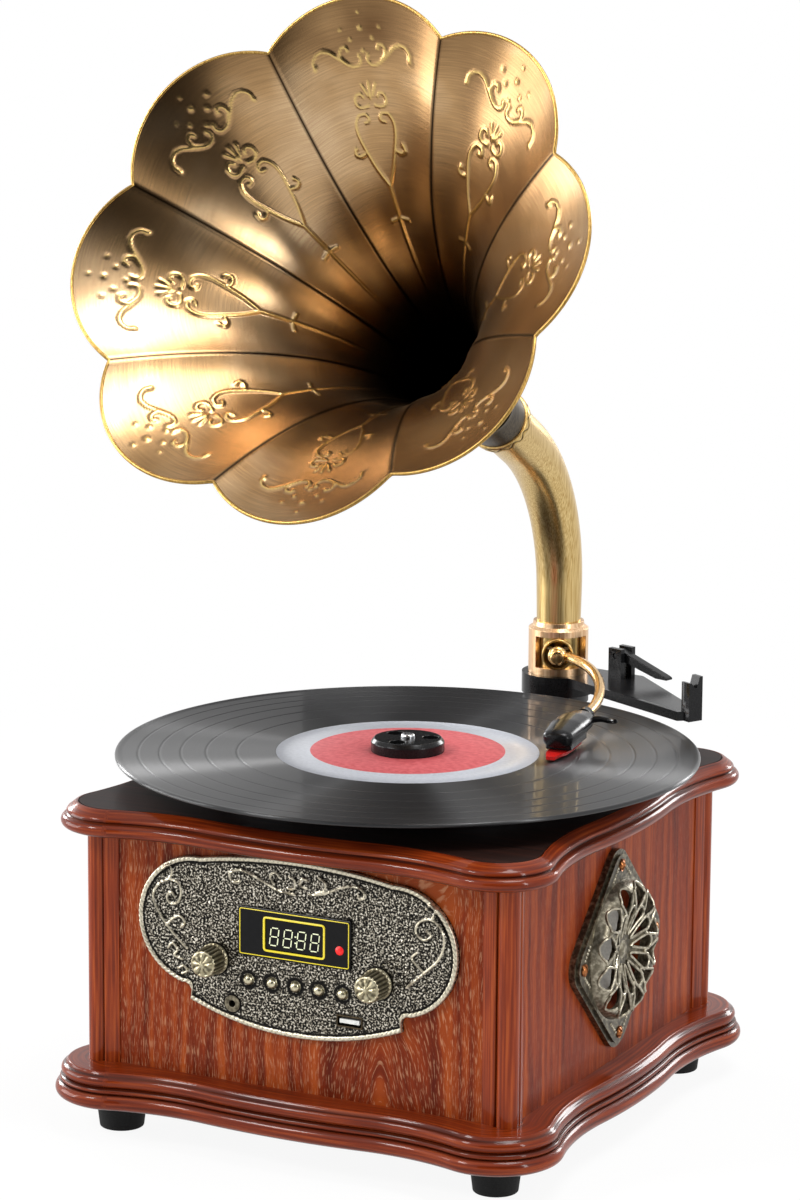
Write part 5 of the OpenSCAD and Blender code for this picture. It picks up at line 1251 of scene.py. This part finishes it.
def add_record():
    """Pressed record with a raised rim, bands between the tracks, a run-out painted bright as its
    reflection, and a paper label.
    """
    top, edge, hole_r, bead_r, dent = RECORD_TOP, RECORD_TOP - 0.5, 3.6, 1.1, 0.15
    label_to, run_out_to = 50.5, 67.9
    bands, band_half, band_spread, band_dip = (88, 104, 117, 128, 139), 0.45, 0.5, 0.22
    groove_from, groove_to, groove_step, ripple = 68, 147.5, 0.5, 0.03
    beside_bands = [b + d for b in bands for d in (-band_half, band_half)]
    radii = np.unique(np.concatenate([np.arange(groove_from, groove_to, groove_step), beside_bands]))
    dip = np.max([np.exp(-((radii - b) / band_spread) ** 2) for b in bands], 0)
    face = np.column_stack([radii, edge - band_dip * dip + ripple * np.cos(radii * 2 * math.pi)])
    profile = np.concatenate([
        [(hole_r, RECORD_LOW), (RECORD_R - 1, RECORD_LOW)],
        arc((RECORD_R - bead_r, RECORD_LOW + bead_r), bead_r, -80, 80, 8),
        [(RECORD_R - 2, top), (RECORD_R - 3.6, edge)], face[::-1],
        [(67.6, edge - 0.1), (51, edge - 0.05), (50.4, top), (16.5, top)],
        [(16.2, top - dent), (15.6, top - dent), (15.3, top), (hole_r, top)]])
    points, faces = hoop(profile, 220)
    disc = piece("record_finish", points, faces, [VINYL, RUN_OUT_REFLECTION, LABEL], "turntable", ("record",),
                 crease=50)
    for polygon in disc.data.polygons:
        r = np.hypot(polygon.center.x - ORIGIN[0], polygon.center.y - ORIGIN[1]) / MM
        if polygon.center.z / MM > RECORD_TOP - 1:
            polygon.material_index = 2 if r < label_to else 1 if r < run_out_to else 0


def add_turntable():
    """Record, platter, mat, spindle, adapter and the drive under them."""
    add_record()
    softened("platter", 0.5, PLATTER)
    dress(FELT, "slip_mat")
    softened("adapter", 0.7, BLACK, 3)
    softened("spindle", 1.2, STEEL, 4)
    dress(STEEL, "bearing_housing", "motor")
    dress(TUBE_BRASS, "motor_pulley")
    dress(RUBBER, "drive_belt")


add_turntable()


# Horn

FLARE_END = NOTCH_R - NECK_R - FLARE
PETAL_HALF = math.pi / PETALS


def bell_r(t):
    """Radius of the bell along its length, t = 0 at the neck and 1 at the notches."""
    return NECK_R + FLARE * t + FLARE_END * t ** 3


def bell_slope(t):
    """How fast the bell widens along its length."""
    return FLARE + 3 * FLARE_END * t ** 2


def swell(w, t):
    """Bulge of a petal, w = -1 and 1 at its seams."""
    return 1 + PETAL_BULGE * (1 - w * w) * np.sqrt(t)


def rim_t(w):
    """How far the bell runs at the scalloped rim."""
    chord, sag = NOTCH_R * math.sin(PETAL_HALF), TIP_R - NOTCH_R * math.cos(PETAL_HALF)
    petal_r = (chord ** 2 + sag ** 2) / (2 * sag)
    petal_at = TIP_R - petal_r
    a = w * PETAL_HALF
    rim = petal_at * np.cos(a) + np.sqrt(petal_r ** 2 - (petal_at * np.sin(a)) ** 2)
    return 1 + (rim / swell(w, 1.0) - NOTCH_R) / bell_slope(1)


# Distance along the bell's skin from the neck, and that distance at the tip of a petal
LONG_T = np.linspace(0, 1.1, 1200)
LONG_ARC = np.concatenate([[0], np.cumsum(np.hypot(HORN_LEN, bell_slope(LONG_T[1:])) * np.diff(LONG_T))])
TIP_ARC = np.interp(rim_t(np.array(0.0)), LONG_T, LONG_ARC)

# Relief of a petal: right half, across from the middle and down from the tip, and the radius of each dot
HALF_SCROLLS = [
    [(26, 28), (26.5, 24), (23, 21.3), (18, 23), (13, 27.5), (8, 31.5), (4, 32.3), (1.8, 30), (2.4, 27.5)],
    [(9, 30.8), (12.3, 27), (12, 23.4), (9.4, 22.4), (8.2, 24.6)],
    [(1.6, 51.8), (5, 52.8), (8, 50.8), (8.2, 47.2), (5.6, 45.6), (3.8, 47.6)],
    [(0, 48.5), (0, 41.5)], [(1.2, 47.2), (3.4, 42.4)],
    [(5.4, 60), (3, 59), (4.2, 56.2), (8, 56), (10.3, 60), (10, 66), (7.8, 74), (4.5, 84), (0, 94)],
    [(7.6, 74.5), (10.8, 76), (13.6, 74.3), (13, 71.6)]]
HALF_DOTS = [(0, 7, 1.3), (10.7, 14, 1.2), (0, 14.5, 2.0), (6, 19.5, 1.5), (0, 25.5, 1.7), (2.4, 27.5, 1.7),
             (26, 28, 1.7), (13, 71.6, 1.6), (0, 40.6, 1.2), (3.8, 41.6, 1.1)]
STEM = np.array([(0, 94), (0, 113), (0, 160)])
STEM_BAND = np.array([(-4.5, 113.5), (0, 112.2), (4.5, 113.5)])


def petal_relief(across, down):
    """Height from 0 to 1 of the pressed ornament on one petal."""
    scroll_half, stem_half, stem_fades, faded = 1.1, 1.3, (100, 160), 0.4
    spots = np.column_stack([across.ravel(), down.ravel()])
    stem = ridge(away_from(spots, STEM), stem_half) * np.interp(spots[:, 1], stem_fades, (1, faded))
    height = np.maximum(stem, ridge(away_from(spots, STEM_BAND), stem_half))
    for flip in (1, -1):
        for line in HALF_SCROLLS:
            path = curve_through(line) * (flip, 1)
            height = np.maximum(height, ridge(away_from(spots, path), scroll_half))
        for x, y, r in HALF_DOTS:
            height = np.maximum(height, ridge(np.hypot(spots[:, 0] - flip * x, spots[:, 1] - y), r))
    return height.reshape(across.shape)


def bell_skin(steps, rings, out):
    """One side of the bell with its relief, 0 inside and 1 outside: points, UV in millimetres and tone."""
    seam_half, seam_fades, relief_h, seam_h = 0.9, 60, 0.8, 0.4
    w = np.linspace(-1, 1, steps, endpoint=False)
    share = np.linspace(0, 1, rings) ** 0.62
    W, S = np.meshgrid(w, share)
    T = S * rim_t(W)
    radius = bell_r(T) * swell(W, T)
    down = TIP_ARC - np.interp(T, LONG_T, LONG_ARC)
    across = W * PETAL_HALF * radius
    relief = petal_relief(across, down)
    from_seam = (1 - np.abs(W)) * PETAL_HALF * radius
    seam = np.exp(-(from_seam / seam_half) ** 2) * np.clip((TIP_ARC - down) / seam_fades, 0, 1)
    slope = np.arctan2(bell_slope(T), HORN_LEN)
    lift = out * SHEET - relief_h * relief + seam_h * seam
    r = radius + lift * np.cos(slope)
    z = -HORN_LEN * (1 - T) - lift * np.sin(slope)
    rows = []
    for k in range(PETALS):
        a = math.radians(PETAL_TURN) + PETAL_HALF * (2 * k + W)
        rows.append(np.stack([r * np.cos(a), r * np.sin(a), z], 2))
    points = np.concatenate(rows, 1)
    own_brushing = 97  # each petal takes its brushing from another stretch
    uv = np.concatenate([np.stack([across + own_brushing * k, down], 2) for k in range(PETALS)], 1)
    tone = np.tile(0.95 * relief - 0.85 * seam, (1, PETALS))
    return points, uv, tone


def add_bell():
    """The flower bell: pressed relief, seams between the petals and a rolled rim."""
    fine, coarse, fine_rings, coarse_rings, rim_r = 96, 48, 205, 110, 0.95
    inner, inner_uv, inner_tone = bell_skin(fine, fine_rings, 0)
    outer, outer_uv, outer_tone = bell_skin(coarse, coarse_rings, 1)
    n, m = inner.shape[1], outer.shape[1]
    first = fine_rings * n
    points = np.concatenate([inner.reshape(-1, 3), outer.reshape(-1, 3)])
    uv = np.concatenate([inner_uv.reshape(-1, 2), outer_uv.reshape(-1, 2)])
    tone = np.concatenate([inner_tone.ravel(), 0.5 * outer_tone.ravel()])
    faces = grid_faces(fine_rings, n) + grid_faces(coarse_rings, m, first=first)
    for row, other in ((0, 0), (fine_rings - 1, coarse_rings - 1)):
        for j in range(m):
            a, b = first + other * m + j, first + other * m + (j + 1) % m
            p = row * n
            faces.append((p + 2 * j, p + (2 * j + 1) % n, p + (2 * j + 2) % n, b, a))
    piece("horn_bell_finish", moved(points, HORN), faces, HORN_BRASS, "horn", ("horn_bell",),
          uv, tone, 75)
    rim = (inner[-1][::2] + outer[-1]) / 2
    points, faces = tube(rim, rim_r, 10, True)
    piece("horn_rim", moved(points, HORN), faces, EDGE_BRASS, "horn")


def elbow_path():
    """Centreline of the elbow, from the collar round to the neck ring."""
    turn, sunk = 90 - HORN_UP, 3
    corner_d = (COLUMN_Y - HORN_Y) / horn_cos
    bend_z = HORN_Z - corner_d * horn_sin - ELBOW_BEND * math.tan(math.radians(turn / 2))
    low = np.array([(0, COLUMN_Y, z) for z in np.linspace(COLLAR_TOP - sunk, bend_z, 12, endpoint=False)])
    bend = arc((COLUMN_Y - ELBOW_BEND, bend_z), ELBOW_BEND, 0, turn, 48)
    bend = np.column_stack([np.zeros(len(bend)), bend])
    end = moved([(0, 0, -RING_AT - RING_L * 0.75)], HORN)[0]
    last = np.array([bend[-1] + (end - bend[-1]) * f for f in np.linspace(0, 1, 8)[1:]])
    return np.concatenate([low, bend, last])


def add_elbow():
    """Tapered elbow, hollow, with painted shade inside."""
    path = elbow_path()
    sides, rows = 64, len(path)
    radius = np.linspace(ELBOW_R, ELBOW_TOP_R, rows)
    outer, skin = tube(path, radius, sides)
    inner, lining = tube(path, radius - SHEET, sides)
    points, faces = joined([(outer, skin[:-2]), (inner, lining[:-2])])
    for row in (0, rows - 1):
        for j in range(sides):
            a, b = row * sides + j, row * sides + (j + 1) % sides
            faces.append((a, b, b + rows * sides, a + rows * sides))
    # painted shade over the whole inner wall
    inside_shade = np.repeat((0.0, 1.0), rows * sides)
    piece("elbow_finish", points, faces, TUBE_BRASS, "horn", ("elbow",), None, inside_shade)


def add_ferrule():
    """Thin dark ferrule round the neck of the bell."""
    ease, wall, seat = 0.5, 0.7, 0.2
    depth = np.linspace(FERRULE_FROM, RING_AT, 10)
    t = 1 - depth / HORN_LEN
    inner = bell_r(t) * (1 + PETAL_BULGE * np.sqrt(t)) + SHEET + seat
    band = np.concatenate([np.column_stack([inner + wall, -depth]), np.column_stack([inner, -depth])[::-1]])
    band[0, 0] += ease
    points, faces = hoop(band, 96)
    piece("neck_ferrule_finish", moved(points, HORN), faces, PATINA, "horn", ("neck_ferrule",))


def add_neck_ring():
    """Gold ring with a waved line engraved round it."""
    steps, rows, inside = 240, 25, ELBOW_TOP_R + 0.4
    waves, wave_h, cut_half, dark_half = 14, 0.45, 0.3, 0.34
    A, S = np.meshgrid(all_round(steps), np.linspace(-1, 1, rows))
    wave = np.abs(S - wave_h * np.sin(waves * A))
    r = ELBOW_TOP_R + 1.2 + 1.5 * np.sqrt(np.clip(1 - S ** 4, 0, 1)) - 0.55 * ridge(wave, cut_half)
    A = np.concatenate([A, A[:2]])
    r = np.concatenate([r, np.full((2, steps), inside)])
    S = np.concatenate([S, np.ones((1, steps)), -np.ones((1, steps))])
    level = -RING_AT - RING_L / 2 + S * RING_L / 2
    points = np.stack([r * np.cos(A), r * np.sin(A), level], 2).reshape(-1, 3)
    darkening = np.concatenate([0.9 * ridge(wave, dark_half).ravel(), np.zeros(2 * steps)])
    faces = grid_faces(rows + 2, steps, loop_rows=True)
    piece("neck_ring_finish", moved(points, HORN), faces, RIM_BRASS, "horn", ("neck_ring",),
          None, darkening)


add_bell()
add_elbow()
add_ferrule()
add_neck_ring()


# Column and tonearm

ALONG_ARM = axes((0, 0, 0), (0, 1, 0), (0, 0, 1), (1, 0, 0))
STUB_END = COLLAR_R + 1.3


def add_stylus():
    """Red stylus holder: a tapered tongue clipped under the cartridge, with its needle at the tip."""
    clip, low, thick, under, gap = 24, -7.2, 1.7, 0.9, 0.3
    needle_at = math.hypot(ARM_LEN - SHELL_AT, SHELL_SIDE)
    tip = RECORD_TOP + gap - PIVOT_Z + SHELL_DROP
    # distance along the headshell, height of the top and half width
    stations = ((clip, low - 0.1, 6.0), (40, low - 0.1, 6.0), (50, low - 0.2, 5.4),
                (needle_at - 4, tip + 2.6, 3.8), (needle_at + 0.6, tip + 2.0, 2.4))
    rows = []
    for x, top, half in stations:
        rows.append([(x, -half, top), (x, half, top),
                     (x, half * under, top - thick), (x, -half * under, top - thick)])
    faces = grid_faces(len(rows), 4) + [(0, 1, 2, 3), tuple(range(4 * len(rows) - 4, 4 * len(rows)))]
    needle, needle_faces = lathe([(0, 0), (0.15, 0), (0.5, 1.8), (0, 1.8)], 24)
    needle = needle + (needle_at - 0.6, 0, tip)
    points, faces = joined([(np.concatenate(rows), faces), (needle, needle_faces)])
    piece("stylus_holder_finish", moved(points, SHELL), faces, RED, "tonearm",
          ("stylus_holder",), crease=25)


def add_arm_tube():
    """Bent gilt tube, from a turned stub in the pivot to the plug in the headshell."""
    plug_l, straight, stub_r, flange_r, cuff_r = 6, 34, 3.1, 5.3, 4.2
    ahead = turned(shell_turn)
    neck = np.array((SHELL_AT, SHELL_SIDE, -SHELL_DROP))
    control = np.array([(STUB_END - 1, 0.2, 0), (STUB_END + 26, TUBE_BOW + 4, -0.4),
                        neck - (plug_l + straight) * ahead, neck - plug_l * ahead])
    t = np.linspace(0, 1, 60)[:, None]
    bent = ((1 - t) ** 3 * control[0] + 3 * t * (1 - t) ** 2 * control[1]
            + 3 * t ** 2 * (1 - t) * control[2] + t ** 3 * control[3])
    # radius, and distance beyond the pivot's outer face
    flange = [(stub_r, 2.2), (3.8, 2.4), (4.9, 2.7), (flange_r, 3.6), (4.9, 4.6), (cuff_r, 5), (cuff_r, 7),
              (3.5, 8), (2.9, 8.2), (0, 8.2)]
    stub, stub_faces = lathe([(0, -3), (stub_r, -3)] + [(r, STUB_END + x) for r, x in flange], 40)
    points, faces = joined([tube(bent, TUBE_R, 24), (moved(stub, ALONG_ARM), stub_faces)])
    piece("arm_tube_finish", moved(points, ARM), faces, GILT, "tonearm", ("arm_tube",))


def add_headshell():
    """Rounded headshell with the socket behind it and its finger lift."""
    steps, back_r, front_r, least = 40, 3, 5, 0.05
    stations = np.concatenate([
        np.linspace(0, 6, 10), np.linspace(7, SHELL_L - 6, 24), np.linspace(SHELL_L - 5.4, SHELL_L, 10)])
    half_at, half_of = (0, 6, 18, 32, 44, SHELL_L), (4.6, 7.4, 9.6, 9.8, 8.6, 7.4)
    crown_at, crown_of = (0, 6, 20, 34, 46, SHELL_L), (3.2, 4.6, 6.2, 6.0, 4.6, 3.4)
    belly_at, belly_of = (0, 18, 36, 46, SHELL_L), (1.9, 1.9, 3.8, 5.4, 5.6)
    a = all_round(steps)
    across, up = np.abs(np.cos(a)), np.abs(np.sin(a))
    rows = []
    for x in stations:
        rounding = back_r if x < back_r else front_r
        end = math.sqrt(max(0, 1 - max(0, back_r - x, x - SHELL_L + front_r) ** 2 / rounding ** 2))
        half = np.interp(x, half_at, half_of) * end ** 0.6 + least
        crown = np.interp(x, crown_at, crown_of) * end ** 0.7 + least
        belly = np.interp(x, belly_at, belly_of) * end ** 0.5
        y = half * np.sign(np.cos(a)) * across ** 0.85
        z = np.where(np.sin(a) > 0, crown * up ** 0.95, -belly * up ** 0.6)
        rows.append(np.column_stack([np.full(steps, x), y, z]))
    n = len(rows)
    caps = [tuple(range(steps)), tuple(range((n - 1) * steps, n * steps))]
    socket, socket_faces = lathe([(0, -5), (3.6, -5), (4.3, -4.4), (4.3, 1), (0, 1)], 32)
    lift = curve_through([(10, 8, 1.2), (10, 12, 1.8), (11, 17, 1.4), (15, 21, 2.2), (19, 22, 3.4)])
    points, faces = joined([
        (np.concatenate(rows), grid_faces(n, steps) + caps), (moved(socket, ALONG_ARM), socket_faces),
        tube(lift, np.linspace(1.8, 1.1, len(lift)), 12)])
    piece("headshell_finish", moved(points, SHELL), faces, BLACK, "tonearm", ("headshell",),
          crease=50)


def add_arm():
    """Arm tube, headshell, cartridge and stylus holder."""
    add_arm_tube()
    add_headshell()
    softened("cartridge", 0.6, BLACK, 3)
    add_stylus()


def add_column():
    """Collar, pivot and the black arm base with its rest and cue lever."""
    ring_r, ring_bar, steps = 8.0, 0.75, 64
    softened("collar", 0.6, COPPER, 3)
    softened("pivot_sleeve", 0.5, RIM_BRASS, 3)
    ring = arc((0, 0), ring_r, 0, 360, steps)[:-1]
    points, faces = tube(np.column_stack([np.full(steps, STUB_END), ring]), ring_bar, 12, True)
    piece("socket_ring", moved(points, ARM), faces, RIM_BRASS, "arm_pivot")
    softened("arm_base", 0.6, BLACK)
    softened("cue_lever", 0.5, BLACK)
    dress(STEEL, "hinge_pin")


add_arm()
add_column()
dress(BOARD, "control_board")
dress(STEEL, "volume_shaft", "tuning_shaft")
